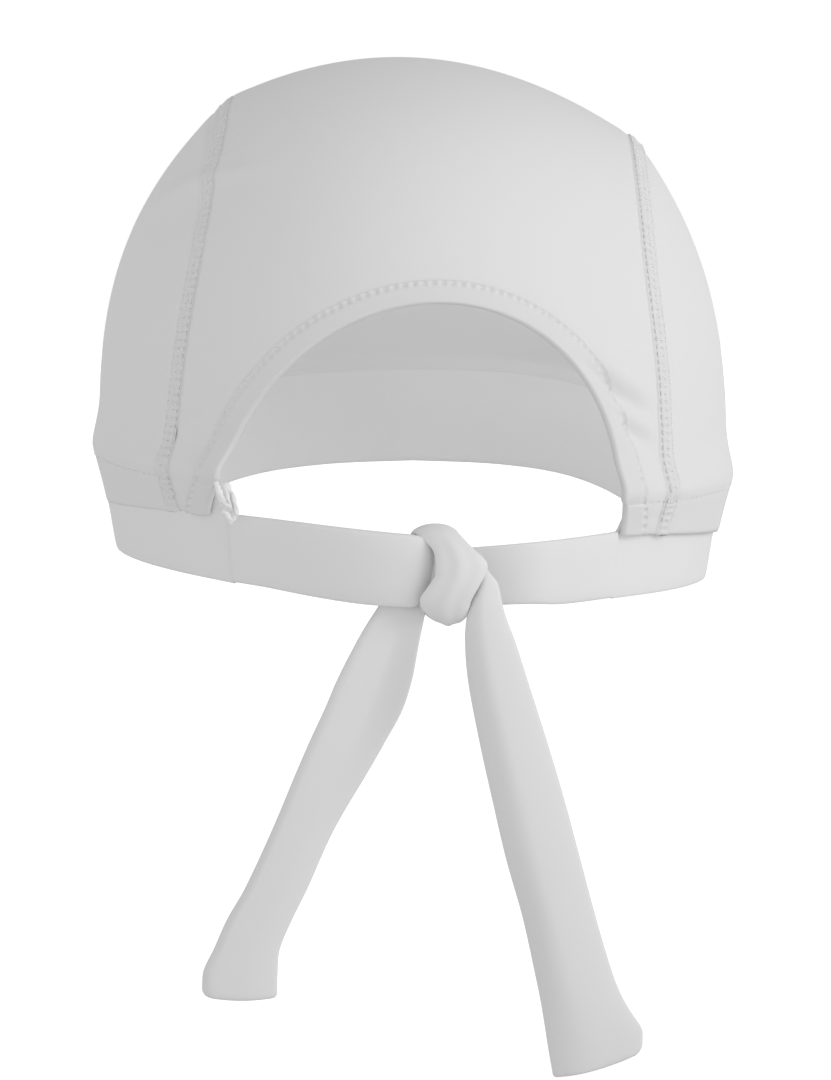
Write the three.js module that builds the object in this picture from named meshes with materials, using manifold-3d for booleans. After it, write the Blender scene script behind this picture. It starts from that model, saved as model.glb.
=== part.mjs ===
// Bandana swim cap in stretch knit, in the form that it has when worn, seen best from the back.
// Three cloth panels make the crown, with an arched opening low at the back. A folded headband
// runs round the lower edge, and past the opening it carries on as two straps tied in a knot.
// Millimetres, +Z up, +Y to the wearer's front, +X to the wearer's right.
// The origin is the highest point inside the crown, where the head touches it.

import * as THREE from "three";
import { mergeVertices } from "three/addons/utils/BufferGeometryUtils.js";
import Module from "manifold-3d";

const wasm = await Module();
wasm.setup();

// Head form that fills the cap
const HEAD_WIDTH = 155;
const HEAD_LENGTH = 188;
const CROWN_DEPTH = 111.5;
const PLAN_POWER = 2.2;

// Cloth and seams
const CLOTH = 1.2;
const SEAM_GAP = 0.3;
const SEAM_WIDTH = 6.4;
const SEAM_THICKNESS = 2.2;

// Lower edge of the body, where its cloth laps over the headband
const HEM_HEIGHT = 14;
const HEM_LAP = 10.4;
const EDGE_PULL = 6;
const FRONT_RISE = 24;
const BACK_DIP = 1.8;

// The cap sits a little rolled on the head: its right side is pulled down at the back, and the
// seams lie further to the right over the top than at the hem.
const SKEW = 0.05;
const SEAM_SHIFT = 5.2;
const SEAM_SHIFT_AT_HEM = 2;

// Headband and its straps
const BAND_HEIGHT = 17;
const BAND_THICKNESS = 2;
const SEAM_END = 4;

// Arched opening at the back
const ARCH_WIDTH = 94.6;
const ARCH_HEIGHT = 52.3;
const ARCH_SHIFT = 0.6;
const ARCH_SWAY = 7.6;
const ARCH_HEM_WIDTH = 4.8;
const ARCH_HEM_THICKNESS = 2;
const ARCH_GAP = 0.3;

// Knot
const KNOT_WIDTH = 13;
const KNOT_HEIGHT = 24;
const KNOT_DEPTH = 17;
const KNOT_SHIFT = 11.4;
const KNOT_TILT = -8;
const KNOT_LOOP_SHIFT = 5;
const KNOT_WALL = 2;
const KNOT_PROUD = 2.5;
const KNOT_SINK = 0.66;
const KNOT_ROUNDNESS = 0.42;
const KNOT_TAPER = 0.22;

// Free ends
const TAIL_THICKNESS = 2.4;
const LEFT_TAIL_LENGTH = 95.5;
const RIGHT_TAIL_LENGTH = 118.5;
const TAIL_WIDTH = 17;
const LEFT_TAIL_PROUD = 2;
const RIGHT_TAIL_PROUD = 4;
const RIGHT_TAIL_RISE = 7.5;

// How finely each piece is faceted
const CROWN_ROWS = 24;
const CROWN_COLUMNS = 18;
const SIDE_COLUMNS = 22;
const SIDE_ROWS = 9;
const ARCH_STEPS = 38;
const ARCH_CUT_STEPS = 36;
const BAND_STEPS = 44;
const LEFT_STRAP_STEPS = 14;
const RIGHT_STRAP_STEPS = 10;
const KNOT_STEPS = 8;
const KNOT_SIDES = 24;
const TAIL_STEPS = 18;

const HALF_WIDTH = HEAD_WIDTH / 2;
const HALF_LENGTH = HEAD_LENGTH / 2;
const RADIAN = Math.PI / 180;
const ARCH_FOOT = -CROWN_DEPTH;

// Where the seams meet the hem, in degrees from the centre back or the centre front.
const SEAM_ANGLE = 46.5;
// The side panels' cloth starts beside the lap, and their first rib just above the hem's corner.
const SIDE_START = SEAM_WIDTH + SEAM_GAP / 2;
const SIDE_END_RUN = 0.02;
const SIDE_FULLNESS = 2.8;
// How much closer the side panels' ribs lie to the corners than to the ear.
const SIDE_GATHER = 0.09;
// The angle between the crown's cloth and the side's at the top of the seams, in degrees. A seam that
// lies further in follows the crown's cloth, and one that lies further out follows the side's.
const SHOULDER_ANGLE = 26;
// How sharply the top's shift, and the hem's curve, fade in towards the ends of the seams.
const SHIFT_POWER = 2.5;
const MEND_POWER = 4;
// Half the stretch of a seam, or of a tail, over which its direction is measured.
const SEAM_STEP = 0.01;
const TAIL_STEP = 0.02;
// The middle of the head below the crown, from which cloth faces outward.
const HEAD_MIDDLE = -0.7 * CROWN_DEPTH;
// How far behind the head's middle the folds reach their full height.
const FOLD_REACH = 20;

// The body's lower edge round the head: at is the angle from the centre back, through either side,
// to the centre front. rise is a share of FRONT_RISE, dip of BACK_DIP, hem of HEM_HEIGHT, and band
// of BAND_HEIGHT: how much of the headband shows below the edge there.
const EDGE = [
  { at: 0, rise: 0.0, dip: 1.0, hem: 0.68, band: 1.0 },
  { at: 24, rise: 0.0, dip: 0.2, hem: 0.68, band: 1.02 },
  { at: 48, rise: 0.0, dip: 0.0, hem: 0.72, band: 0.91 },
  { at: 75, rise: -0.03, dip: 0.0, hem: 0.92, band: 0.77 },
  { at: 95, rise: -0.04, dip: 0.0, hem: 1.0, band: 0.73 },
  { at: 115, rise: 0.18, dip: 0.0, hem: 0.95, band: 0.78 },
  { at: 132, rise: 0.6, dip: 0.0, hem: 0.85, band: 0.86 },
  { at: 147, rise: 0.84, dip: 0.0, hem: 0.85, band: 0.9 },
  { at: 163, rise: 0.96, dip: 0.0, hem: 0.85, band: 0.92 },
  { at: 180, rise: 1.0, dip: 0.0, hem: 0.85, band: 0.92 },
];

// How far the elastic edge draws the ring in: level is 1 at the top of the hem, 0 at the body's
// edge and -1 at the bottom of the headband, and pull a share of EDGE_PULL.
const PULL = [
  { at: -1, pull: 1.0 },
  { at: -0.5, pull: 0.88 },
  { at: 0, pull: 0.7 },
  { at: 0.85, pull: 0.2 },
  { at: 1, pull: 0.0 },
];

// The seam and the crown's centre line, from the front hem (0) to the back hem (1). The two ends
// come from the ring. forward is a share of HALF_LENGTH, drop of CROWN_DEPTH and out of HALF_WIDTH;
// turn is the slope of the side cloth beside the seam, in degrees.
const ARCHES = [
  { at: 0.1, forward: 0.685, drop: 0.585, out: 0.722, turn: 55, midForward: 0.975, midDrop: 0.513 },
  { at: 0.2, forward: 0.62, drop: 0.402, out: 0.68, turn: 54, midForward: 0.893, midDrop: 0.326 },
  { at: 0.3, forward: 0.488, drop: 0.248, out: 0.652, turn: 50, midForward: 0.7, midDrop: 0.159 },
  { at: 0.4, forward: 0.27, drop: 0.145, out: 0.636, turn: 44, midForward: 0.4, midDrop: 0.043 },
  { at: 0.5, forward: 0.0, drop: 0.114, out: 0.63, turn: 41, midForward: 0.0, midDrop: 0.000 },
  { at: 0.6, forward: -0.258, drop: 0.138, out: 0.636, turn: 43, midForward: -0.385, midDrop: 0.037 },
  { at: 0.7, forward: -0.485, drop: 0.248, out: 0.652, turn: 48, midForward: -0.69, midDrop: 0.152 },
  { at: 0.8, forward: -0.64, drop: 0.424, out: 0.678, turn: 52, midForward: -0.893, midDrop: 0.348 },
  { at: 0.9, forward: -0.706, drop: 0.650, out: 0.72, turn: 54, midForward: -0.985, midDrop: 0.616 },
];

// Soft folds in the cloth at the back: start and end as shares of HALF_WIDTH outward (left is
// negative) and of CROWN_DEPTH down; height and spread in shares of CLOTH.
const FOLDS = [
  { out: -0.88, drop: 0.36, toOut: -0.5, toDrop: 0.24, height: 0.7, spread: 4 },
  { out: -0.72, drop: 0.46, toOut: -0.56, toDrop: 0.42, height: -0.5, spread: 4 },
  { out: -0.74, drop: 0.85, toOut: -0.52, toDrop: 0.73, height: 0.6, spread: 2.5 },
  { out: 0.48, drop: 0.65, toOut: 0.72, toDrop: 0.79, height: -0.8, spread: 2.5 },
  { out: 0.57, drop: 0.77, toOut: 0.71, toDrop: 0.87, height: -0.7, spread: 2.2 },
];

// Straps from the arch's lower corners (0) to the knot (1): sink is how far the strap's top edge
// drops in shares of BAND_HEIGHT, height its width in the same shares, proud how far it stands off
// the head in shares of KNOT_DEPTH.
const LEFT_STRAP = [
  { at: 0, sink: 0.0, height: 0.96, proud: 0.0 },
  { at: 0.3, sink: 0.0, height: 1.0, proud: 0.0 },
  { at: 0.65, sink: 0.03, height: 1.03, proud: 0.05 },
  { at: 0.85, sink: 0.09, height: 1.0, proud: 0.2 },
  { at: 0.95, sink: 0.14, height: 0.92, proud: 0.3 },
  { at: 1, sink: 0.33, height: 0.55, proud: 0.32 },
];
const RIGHT_STRAP = [
  { at: 0, sink: 0.0, height: 0.94, proud: 0.0 },
  { at: 0.4, sink: 0.12, height: 0.92, proud: 0.0 },
  { at: 0.75, sink: 0.2, height: 0.84, proud: 0.04 },
  { at: 1, sink: 0.26, height: 0.76, proud: 0.08 },
];

// Tails from the knot (0) to the free end (1): down is a share of the tail's length, out and width
// shares of TAIL_WIDTH, turn the twist in degrees about the tail, back the depth in the same shares.
const LEFT_TAIL = [
  { at: 0, down: 0.0, out: -0.6, width: 0.76, turn: 12, back: 0.1 },
  { at: 0.06, down: 0.06, out: -0.9, width: 0.72, turn: 18, back: 0.08 },
  { at: 0.2, down: 0.2, out: -1.2, width: 0.96, turn: 10, back: 0.03 },
  { at: 0.35, down: 0.35, out: -1.56, width: 0.96, turn: 2, back: 0.0 },
  { at: 0.5, down: 0.5, out: -1.98, width: 0.87, turn: -8, back: -0.04 },
  { at: 0.65, down: 0.65, out: -2.37, width: 0.82, turn: -12, back: -0.08 },
  { at: 0.8, down: 0.8, out: -2.79, width: 0.86, turn: -10, back: -0.1 },
  { at: 0.95, down: 0.95, out: -3.07, width: 1.0, turn: -4, back: -0.12 },
  { at: 1, down: 1.0, out: -3.1, width: 0.96, turn: -4, back: -0.12 },
];
const RIGHT_TAIL = [
  { at: 0, down: 0.0, out: 0.4, width: 0.1, turn: 0, back: 0.1 },
  { at: 0.05, down: 0.05, out: 0.42, width: 0.34, turn: -6, back: 0.12 },
  { at: 0.11, down: 0.11, out: 0.37, width: 0.64, turn: -10, back: 0.1 },
  { at: 0.17, down: 0.17, out: 0.43, width: 0.76, turn: -12, back: 0.08 },
  { at: 0.23, down: 0.23, out: 0.51, width: 0.82, turn: -10, back: 0.05 },
  { at: 0.35, down: 0.35, out: 0.71, width: 0.92, turn: -6, back: 0.02 },
  { at: 0.47, down: 0.47, out: 0.93, width: 0.98, turn: 0, back: 0.0 },
  { at: 0.6, down: 0.6, out: 1.15, width: 1.01, turn: 3, back: -0.03 },
  { at: 0.8, down: 0.8, out: 1.52, width: 1.04, turn: 4, back: -0.07 },
  { at: 0.94, down: 0.94, out: 1.8, width: 1.27, turn: 3, back: -0.1 },
  { at: 1, down: 1.0, out: 1.89, width: 1.12, turn: 3, back: -0.1 },
];

const lerp = THREE.MathUtils.lerp;
const ease = (share) => THREE.MathUtils.smoothstep(share, 0, 1);
const vector = (x, y, z) => new THREE.Vector3(x, y, z);

// A row of a table between its rows, by a smooth curve through each column.
function readTable(rows, at) {
  let i = 0;
  while (i < rows.length - 2 && at > rows[i + 1].at) i += 1;
  const span = rows[i + 1].at - rows[i].at;
  const u = THREE.MathUtils.clamp((at - rows[i].at) / span, 0, 1);
  const result = {};
  for (const column of Object.keys(rows[0])) {
    const slope = (k) => {
      const before = rows[Math.max(k - 1, 0)];
      const after = rows[Math.min(k + 1, rows.length - 1)];
      return (after[column] - before[column]) / (after.at - before.at);
    };
    const a = rows[i][column];
    const b = rows[i + 1][column];
    const m = slope(i) * span;
    const n = slope(i + 1) * span;
    const square = u * u;
    const cube = square * u;
    result[column] = (2 * cube - 3 * square + 1) * a + (cube - 2 * square + u) * m
      + (3 * square - 2 * cube) * b + (cube - square) * n;
  }
  return result;
}

// Evenly spaced shares from first to last.
function steps(count, first = 0, last = 1) {
  return Array.from({ length: count + 1 }, (_, i) => lerp(first, last, i / count));
}

// The ring round the head: angle in degrees from the centre back, positive to the right; level is
// 1 at the top of the hem, 0 at the body's edge and -1 at the bottom of the headband.
const insetAt = (level) => readTable(PULL, level).pull * EDGE_PULL;
function ringPoint(angle, level) {
  const edge = readTable(EDGE, Math.abs(((angle + 540) % 360) - 180));
  const sine = Math.sin(angle * RADIAN);
  const cosine = Math.cos(angle * RADIAN);
  const x = (HALF_WIDTH - insetAt(level)) * Math.sign(sine) * Math.abs(sine) ** (2 / PLAN_POWER);
  const y = -(HALF_LENGTH - insetAt(level)) * Math.sign(cosine) * Math.abs(cosine) ** (2 / PLAN_POWER);
  const edgeZ = ARCH_FOOT + edge.rise * FRONT_RISE - edge.dip * BACK_DIP;
  const height = level > 0 ? level * edge.hem * HEM_HEIGHT : level * edge.band * BAND_HEIGHT;
  return vector(x, y, edgeZ + height);
}

// The angle at which the ring's back half reaches a place across, at a level.
function angleAt(x, level) {
  const reach = Math.abs(x) / (HALF_WIDTH - insetAt(level));
  return Math.sign(x) * Math.asin(reach ** (PLAN_POWER / 2)) / RADIAN;
}

// How far apart two degrees of the ring are near the seams.
function degreeLength(level) {
  return ringPoint(SEAM_ANGLE + 0.5, level).distanceTo(ringPoint(SEAM_ANGLE - 0.5, level));
}

// The ring's angle at the seam, grown by a distance round the ring, as it lies on one side: 1 is
// the right and -1 the left.
const seamAngle = (side, grow) => SEAM_ANGLE + (side * SEAM_SHIFT_AT_HEM + grow) / degreeLength(1);

// The arches' table with its two ends taken from the ring, as lengths.
function archRows() {
  const end = (at, angle, middle) => {
    const corner = ringPoint(angle, 1);
    const way = ringPoint(angle + 1, 1).sub(ringPoint(angle - 1, 1));
    const centre = ringPoint(middle, 1);
    const turn = Math.atan2(Math.abs(way.y), Math.abs(way.x)) / RADIAN;
    return { at, x: corner.x, y: corner.y, z: corner.z, turn, shift: SEAM_SHIFT_AT_HEM, midY: centre.y,
      midZ: centre.z };
  };
  const rows = ARCHES.map((row) => ({ at: row.at, x: row.out * HALF_WIDTH, y: row.forward * HALF_LENGTH,
    z: -row.drop * CROWN_DEPTH, turn: row.turn,
    shift: lerp(SEAM_SHIFT, SEAM_SHIFT_AT_HEM, Math.abs(2 * row.at - 1) ** SHIFT_POWER),
    midY: row.midForward * HALF_LENGTH, midZ: -row.midDrop * CROWN_DEPTH }));
  return [end(0, 180 - SEAM_ANGLE, 180), ...rows, end(1, SEAM_ANGLE, 0)];
}
const ARCH_ROWS = archRows();

// A point of the cloth at a distance outward from the seam, on either side. run goes from -1 at the
// front edge through 0 and 1, where the hem begins at the front and the back, to 2 at the back edge.
function besideSeam(run, distance, side) {
  if (run < 0 || run > 1) {
    const angle = seamAngle(side, distance);
    const point = ringPoint(run < 0 ? 180 - angle : angle, run < 0 ? 1 + run : 2 - run);
    return point.setX(side * point.x);
  }
  const row = readTable(ARCH_ROWS, run);
  const before = readTable(ARCH_ROWS, Math.max(run - SEAM_STEP, 0));
  const after = readTable(ARCH_ROWS, Math.min(run + SEAM_STEP, 1));
  const tangent = vector(after.x - before.x, after.y - before.y, after.z - before.z).normalize();
  const sideways = vector(1, 0, 0).addScaledVector(tangent, -tangent.x).normalize();
  const inward = vector(0, 0, 0).crossVectors(tangent, sideways);
  if (inward.dot(vector(0, -row.y, -CROWN_DEPTH - row.z)) < 0) inward.negate();
  const point = vector(row.x, row.y, row.z);
  const move = (away, turn) => {
    point.addScaledVector(sideways, Math.cos(turn * RADIAN) * away);
    point.addScaledVector(inward, Math.sin(turn * RADIAN) * away);
  };
  const shoulder = side < 0 ? SHOULDER_ANGLE * (1 - (2 * run - 1) ** 2) : 0;
  move(side * row.shift, row.turn - shoulder);
  move(distance, row.turn);
  return point.setX(side * point.x);
}

// The centre panel's inner skin: across goes from -1 at the left seam to 1 at the right.
function crownPoint(run, across) {
  const share = (across + 1) / 2;
  const ringAcross = (level, front) => {
    const left = ringPoint(-seamAngle(-1, 0), level).x;
    const right = ringPoint(seamAngle(1, 0), level).x;
    const angle = angleAt(lerp(left, right, share), level);
    return ringPoint(front ? 180 - angle : angle, level);
  };
  const domeAcross = (at) => {
    const row = readTable(ARCH_ROWS, at);
    const left = besideSeam(at, 0, -1);
    const right = besideSeam(at, 0, 1);
    const bulge = 1 - across ** 2;
    return vector(lerp(left.x, right.x, share),
      lerp(left.y, right.y, share) + bulge * (row.midY - (left.y + right.y) / 2),
      lerp(left.z, right.z, share) + bulge * (row.midZ - (left.z + right.z) / 2));
  };
  if (run < 0 || run > 1) return ringAcross(run < 0 ? 1 + run : 2 - run, run < 0);
  const end = run < 0.5 ? 0 : 1;
  const mend = ringAcross(1, end === 0).sub(domeAcross(end));
  return domeAcross(run).addScaledVector(mend, Math.abs(2 * run - 1) ** MEND_POWER);
}

// The side panel's inner skin: along from 0 at the front corner to 1 at the back, and fall from 0
// beside the seam through 1 at the top of the hem to 2 at the body's edge.
function sidePoint(along, fall, side) {
  const spread = along - SIDE_GATHER * Math.sin(2 * Math.PI * along);
  const corner = seamAngle(side, SIDE_START);
  const angle = lerp(180 - corner, corner, spread);
  if (fall > 1) {
    const low = ringPoint(angle, 2 - fall);
    return low.setX(side * low.x);
  }
  const top = besideSeam(lerp(SIDE_END_RUN, 1 - SIDE_END_RUN, along), SIDE_START, side);
  const foot = ringPoint(angle, 1);
  const outward = 1 - (1 - fall) ** SIDE_FULLNESS;
  const x = lerp(top.x, side * foot.x, outward);
  return vector(x, lerp(top.y, foot.y, outward), lerp(top.z, foot.z, fall));
}

// The place of a point once the cap has settled askew, which the front hem has not.
function settled(point) {
  const share = 1 - ease(point.y / HALF_LENGTH);
  return vector(point.x, point.y, point.z - SKEW * point.x * share);
}

// How far the folds lift the cloth at a point of the back.
function foldLift(point) {
  let lift = 0;
  for (const fold of FOLDS) {
    const start = new THREE.Vector2(fold.out * HALF_WIDTH, -fold.drop * CROWN_DEPTH);
    const end = new THREE.Vector2(fold.toOut * HALF_WIDTH, -fold.toDrop * CROWN_DEPTH);
    const here = new THREE.Vector2(point.x, point.z);
    const line = end.clone().sub(start);
    const share = THREE.MathUtils.clamp(here.clone().sub(start).dot(line) / line.lengthSq(), 0, 1);
    const away = here.distanceTo(start.addScaledVector(line, share)) / (fold.spread * CLOTH);
    lift += fold.height * CLOTH * Math.exp(-away * away) * ease(-point.y / FOLD_REACH);
  }
  return lift;
}

// Outward directions of a grid of points, from its neighbours, away from the head's middle.
function normalsOf(grid) {
  const centre = vector(0, 0, HEAD_MIDDLE);
  return grid.map((row, i) => row.map((point, j) => {
    const down = grid[Math.min(i + 1, grid.length - 1)][j].clone().sub(grid[Math.max(i - 1, 0)][j]);
    const across = row[Math.min(j + 1, row.length - 1)].clone().sub(row[Math.max(j - 1, 0)]);
    const normal = down.cross(across).normalize();
    return normal.dot(point.clone().sub(centre)) < 0 ? normal.negate() : normal;
  }));
}

// A closed solid between two grids of points; a ring's last column joins its first.
function slab(outer, inner, ring = false) {
  const rows = outer.length;
  const columns = outer[0].length;
  const positions = [...outer.flat(), ...inner.flat()].flatMap((p) => [p.x, p.y, p.z]);
  const at = (layer, i, j) => layer * rows * columns + i * columns + (j % columns);
  const index = [];
  const quad = (a, b, c, d) => index.push(a, b, c, a, c, d);
  const last = ring ? columns : columns - 1;
  for (let i = 0; i < rows - 1; i += 1) {
    for (let j = 0; j < last; j += 1) {
      quad(at(0, i, j), at(0, i, j + 1), at(0, i + 1, j + 1), at(0, i + 1, j));
      quad(at(1, i, j), at(1, i + 1, j), at(1, i + 1, j + 1), at(1, i, j + 1));
    }
    if (!ring) {
      quad(at(0, i, 0), at(0, i + 1, 0), at(1, i + 1, 0), at(1, i, 0));
      quad(at(0, i, last), at(1, i, last), at(1, i + 1, last), at(0, i + 1, last));
    }
  }
  for (let j = 0; j < last; j += 1) {
    quad(at(0, 0, j), at(1, 0, j), at(1, 0, j + 1), at(0, 0, j + 1));
    quad(at(0, rows - 1, j), at(0, rows - 1, j + 1), at(1, rows - 1, j + 1), at(1, rows - 1, j));
  }
  return facedOut(positions, index);
}

// A solid lofted through closed sections, with a flat cap at each end.
function loft(sections) {
  const count = sections[0].length;
  const positions = sections.flat().flatMap((p) => [p.x, p.y, p.z]);
  const index = [];
  for (let i = 0; i < sections.length - 1; i += 1) {
    for (let j = 0; j < count; j += 1) {
      const next = (j + 1) % count;
      const a = i * count + j;
      const b = i * count + next;
      index.push(a, b, b + count, a, b + count, a + count);
    }
  }
  for (const i of [0, sections.length - 1]) {
    const middle = sections[i].reduce((sum, p) => sum.add(p), vector(0, 0, 0)).divideScalar(count);
    const centre = positions.length / 3;
    positions.push(middle.x, middle.y, middle.z);
    for (let j = 0; j < count; j += 1) {
      const pair = [i * count + j, i * count + ((j + 1) % count)];
      index.push(centre, ...(i === 0 ? pair.reverse() : pair));
    }
  }
  return facedOut(positions, index);
}

// An indexed geometry whose faces point out of the solid.
function facedOut(positions, index) {
  const geometry = new THREE.BufferGeometry();
  geometry.setAttribute("position", new THREE.Float32BufferAttribute(positions, 3));
  const corner = (k) => vector(positions[3 * k], positions[3 * k + 1], positions[3 * k + 2]);
  let volume = 0;
  for (let i = 0; i < index.length; i += 3) {
    volume += corner(index[i]).dot(corner(index[i + 1]).cross(corner(index[i + 2])));
  }
  geometry.setIndex(volume < 0 ? index.slice().reverse() : index);
  return geometry;
}

// Solids for cuts, and back again.
function solidOf(geometry) {
  const bare = geometry.clone();
  bare.deleteAttribute("normal");
  bare.deleteAttribute("uv");
  const merged = mergeVertices(bare, 1e-4);
  const mesh = new wasm.Mesh({
    numProp: 3,
    vertProperties: new Float32Array(merged.attributes.position.array),
    triVerts: new Uint32Array(merged.index.array),
  });
  return new wasm.Manifold(mesh);
}
function geometryOf(solid) {
  const mesh = solid.getMesh();
  const geometry = new THREE.BufferGeometry();
  geometry.setAttribute("position", new THREE.BufferAttribute(new Float32Array(mesh.vertProperties), 3));
  geometry.setIndex(new THREE.BufferAttribute(new Uint32Array(mesh.triVerts), 1));
  return geometry;
}

// A cloth wall on a grid of the inner skin: offsets gives each row's inner and outer height over it.
function wall(skin, offsets) {
  const grid = skin.map((row) => row.map(settled));
  const normals = normalsOf(grid);
  const layer = (which) => grid.map((row, i) => row.map((point, j) => {
    const lift = offsets(i, j)[which] + foldLift(point);
    return point.clone().addScaledVector(normals[i][j], lift);
  }));
  return slab(layer(1), layer(0));
}

// Levels of the hem's rows, from its top to the body's edge, and the cloth's heights there: flat on
// the head above, then lifted over the headband's tucked top.
const HEM_LEVELS = [0.85, 0.45, 0];
const HEM_LIFT = BAND_THICKNESS + SEAM_GAP;
const bodyOffsets = (level) => (level < 1 ? [HEM_LIFT, HEM_LIFT + CLOTH] : [0, CLOTH]);

// Rows of the crown from the front edge to the back edge: its run and its hem level.
const CROWN_RUNS = [
  ...[...HEM_LEVELS].reverse().map((level) => ({ run: level - 1, level })),
  ...steps(CROWN_ROWS).map((run) => ({ run, level: 1 })),
  ...HEM_LEVELS.map((level) => ({ run: 2 - level, level })),
];

// The last run that the search for a point of the back tries, just past its edge, and how often the
// search halves its range.
const EDGE_RUN = 2.2;
const HALVINGS = 30;

// The point of the back's inner skin that lies, once settled, at a place across and down.
function backPoint(x, z) {
  const skinAt = (run) => {
    const left = crownPoint(run, -1).x;
    const right = crownPoint(run, 1).x;
    return crownPoint(run, THREE.MathUtils.clamp(2 * (x - left) / (right - left) - 1, -1, 1));
  };
  let low = 0.5;
  let high = EDGE_RUN;
  for (let i = 0; i < HALVINGS; i += 1) {
    const run = (low + high) / 2;
    if (settled(skinAt(run)).z > z) low = run;
    else high = run;
  }
  return skinAt((low + high) / 2);
}

// The arch's outline seen from straight behind, grown by a distance: share 0 at its right foot, 1
// at its left foot.
function archPoint(share, grow) {
  const angle = Math.PI * share;
  const x = (ARCH_WIDTH / 2 + grow) * Math.cos(angle) + ARCH_SHIFT + ARCH_SWAY * Math.sin(angle);
  return new THREE.Vector2(x, ARCH_FOOT + (ARCH_HEIGHT + grow) * Math.sin(angle) - SKEW * x);
}

// The level at which the arch's feet begin to rise over the headband's tucked top.
const ARCH_LIFT_LEVEL = 1.2;

// A strip along the arch, which may run on past its feet by a share of the arch. Its section's at is a
// share of the hem's width outward from the edge, and low and high are shares of its thickness.
function archStrip(section, past = 0) {
  const skin = steps(ARCH_STEPS, -past, 1 + past).map((share) => section.map(({ at }) => {
    const flat = archPoint(share, at * ARCH_HEM_WIDTH);
    return backPoint(flat.x, flat.y);
  }));
  return wall(skin, (i, j) => {
    const edge = readTable(EDGE, angleAt(skin[i][j].x, 0));
    const level = (skin[i][j].z - ARCH_FOOT) / (edge.hem * HEM_HEIGHT);
    const base = THREE.MathUtils.clamp((ARCH_LIFT_LEVEL - level) / (ARCH_LIFT_LEVEL - 1), 0, 1) * HEM_LIFT;
    return [base + section[j].low * ARCH_HEM_THICKNESS, base + section[j].high * ARCH_HEM_THICKNESS];
  });
}

// The turned edge of the arch: a doubled strip whose free edge is rounded.
const archHem = () => archStrip([
  { at: 0, low: 0.3, high: 0.7 },
  { at: 0.18, low: 0, high: 1 },
  { at: 0.6, low: 0, high: 1 },
  { at: 1, low: 0, high: 0.86 },
]);

// A column of a strip that is thick enough to cut right through the cloth, and how far past the
// arch's feet its strip cuts.
const clear = (at) => ({ at, low: -3, high: 5 });
const ARCH_PAST = 0.02;

// The crown's middle panel, open inside the arch and clear of the arch's hem.
function crownCentrePanel() {
  const across = steps(CROWN_COLUMNS, -1, 1);
  const skin = CROWN_RUNS.map(({ run }) => across.map((share) => crownPoint(run, share)));
  const body = solidOf(wall(skin, (i) => bodyOffsets(CROWN_RUNS[i].level)));
  const outline = steps(ARCH_CUT_STEPS).map((share) => archPoint(share, ARCH_HEM_WIDTH / 2));
  for (const foot of [outline[ARCH_CUT_STEPS], outline[0]]) {
    outline.push(new THREE.Vector2(foot.x, ARCH_FOOT - HEM_HEIGHT));
  }
  const shape = new THREE.Shape(outline);
  const opening = new THREE.ExtrudeGeometry(shape, { depth: HALF_LENGTH, bevelEnabled: false });
  opening.rotateX(Math.PI / 2);
  opening.translate(0, -HALF_LENGTH / 3, 0);
  const room = archStrip([-0.8, 0.6, 1, 1 + ARCH_GAP / ARCH_HEM_WIDTH].map(clear), ARCH_PAST);
  return geometryOf(body.subtract(solidOf(opening)).subtract(solidOf(room)));
}

// A strip along a seam, from the front edge to the back edge. Its section's at is a share of the
// lap's width outward from the centre panel, and low and high are shares of its thickness.
function seamStrip(side, section) {
  const skin = CROWN_RUNS.map(({ run }) => section.map(({ at }) => {
    return besideSeam(run, SEAM_GAP + at * SEAM_WIDTH, side);
  }));
  return wall(skin, (i, j) => {
    const base = bodyOffsets(CROWN_RUNS[i].level)[0];
    return [base + section[j].low * SEAM_THICKNESS, base + section[j].high * SEAM_THICKNESS];
  });
}

// The raised lap of a seam.
const sideSeam = (side) => seamStrip(side, [
  { at: 0, low: 0, high: 0.6 },
  { at: 0.2, low: 0, high: 1 },
  { at: 0.8, low: 0, high: 1 },
  { at: 1, low: 0, high: 0.6 },
]);

// A side panel, clear of the lap beside it.
function sidePanel(side) {
  const falls = [...steps(SIDE_ROWS), ...HEM_LEVELS.map((level) => 2 - level)];
  const skin = steps(SIDE_COLUMNS).map((along) => falls.map((fall) => sidePoint(along, fall, side)));
  const body = wall(skin, (i, j) => bodyOffsets(falls[j] > 1 ? 2 - falls[j] : 1));
  const room = seamStrip(side, [0.5, 1, 1 + SEAM_GAP / SEAM_WIDTH].map(clear));
  return geometryOf(solidOf(body).subtract(solidOf(room)));
}

// The stretch of the ring, in degrees, over which the tucked top ends at the arch's corners.
const CORNER_STEP = 0.5;

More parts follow.
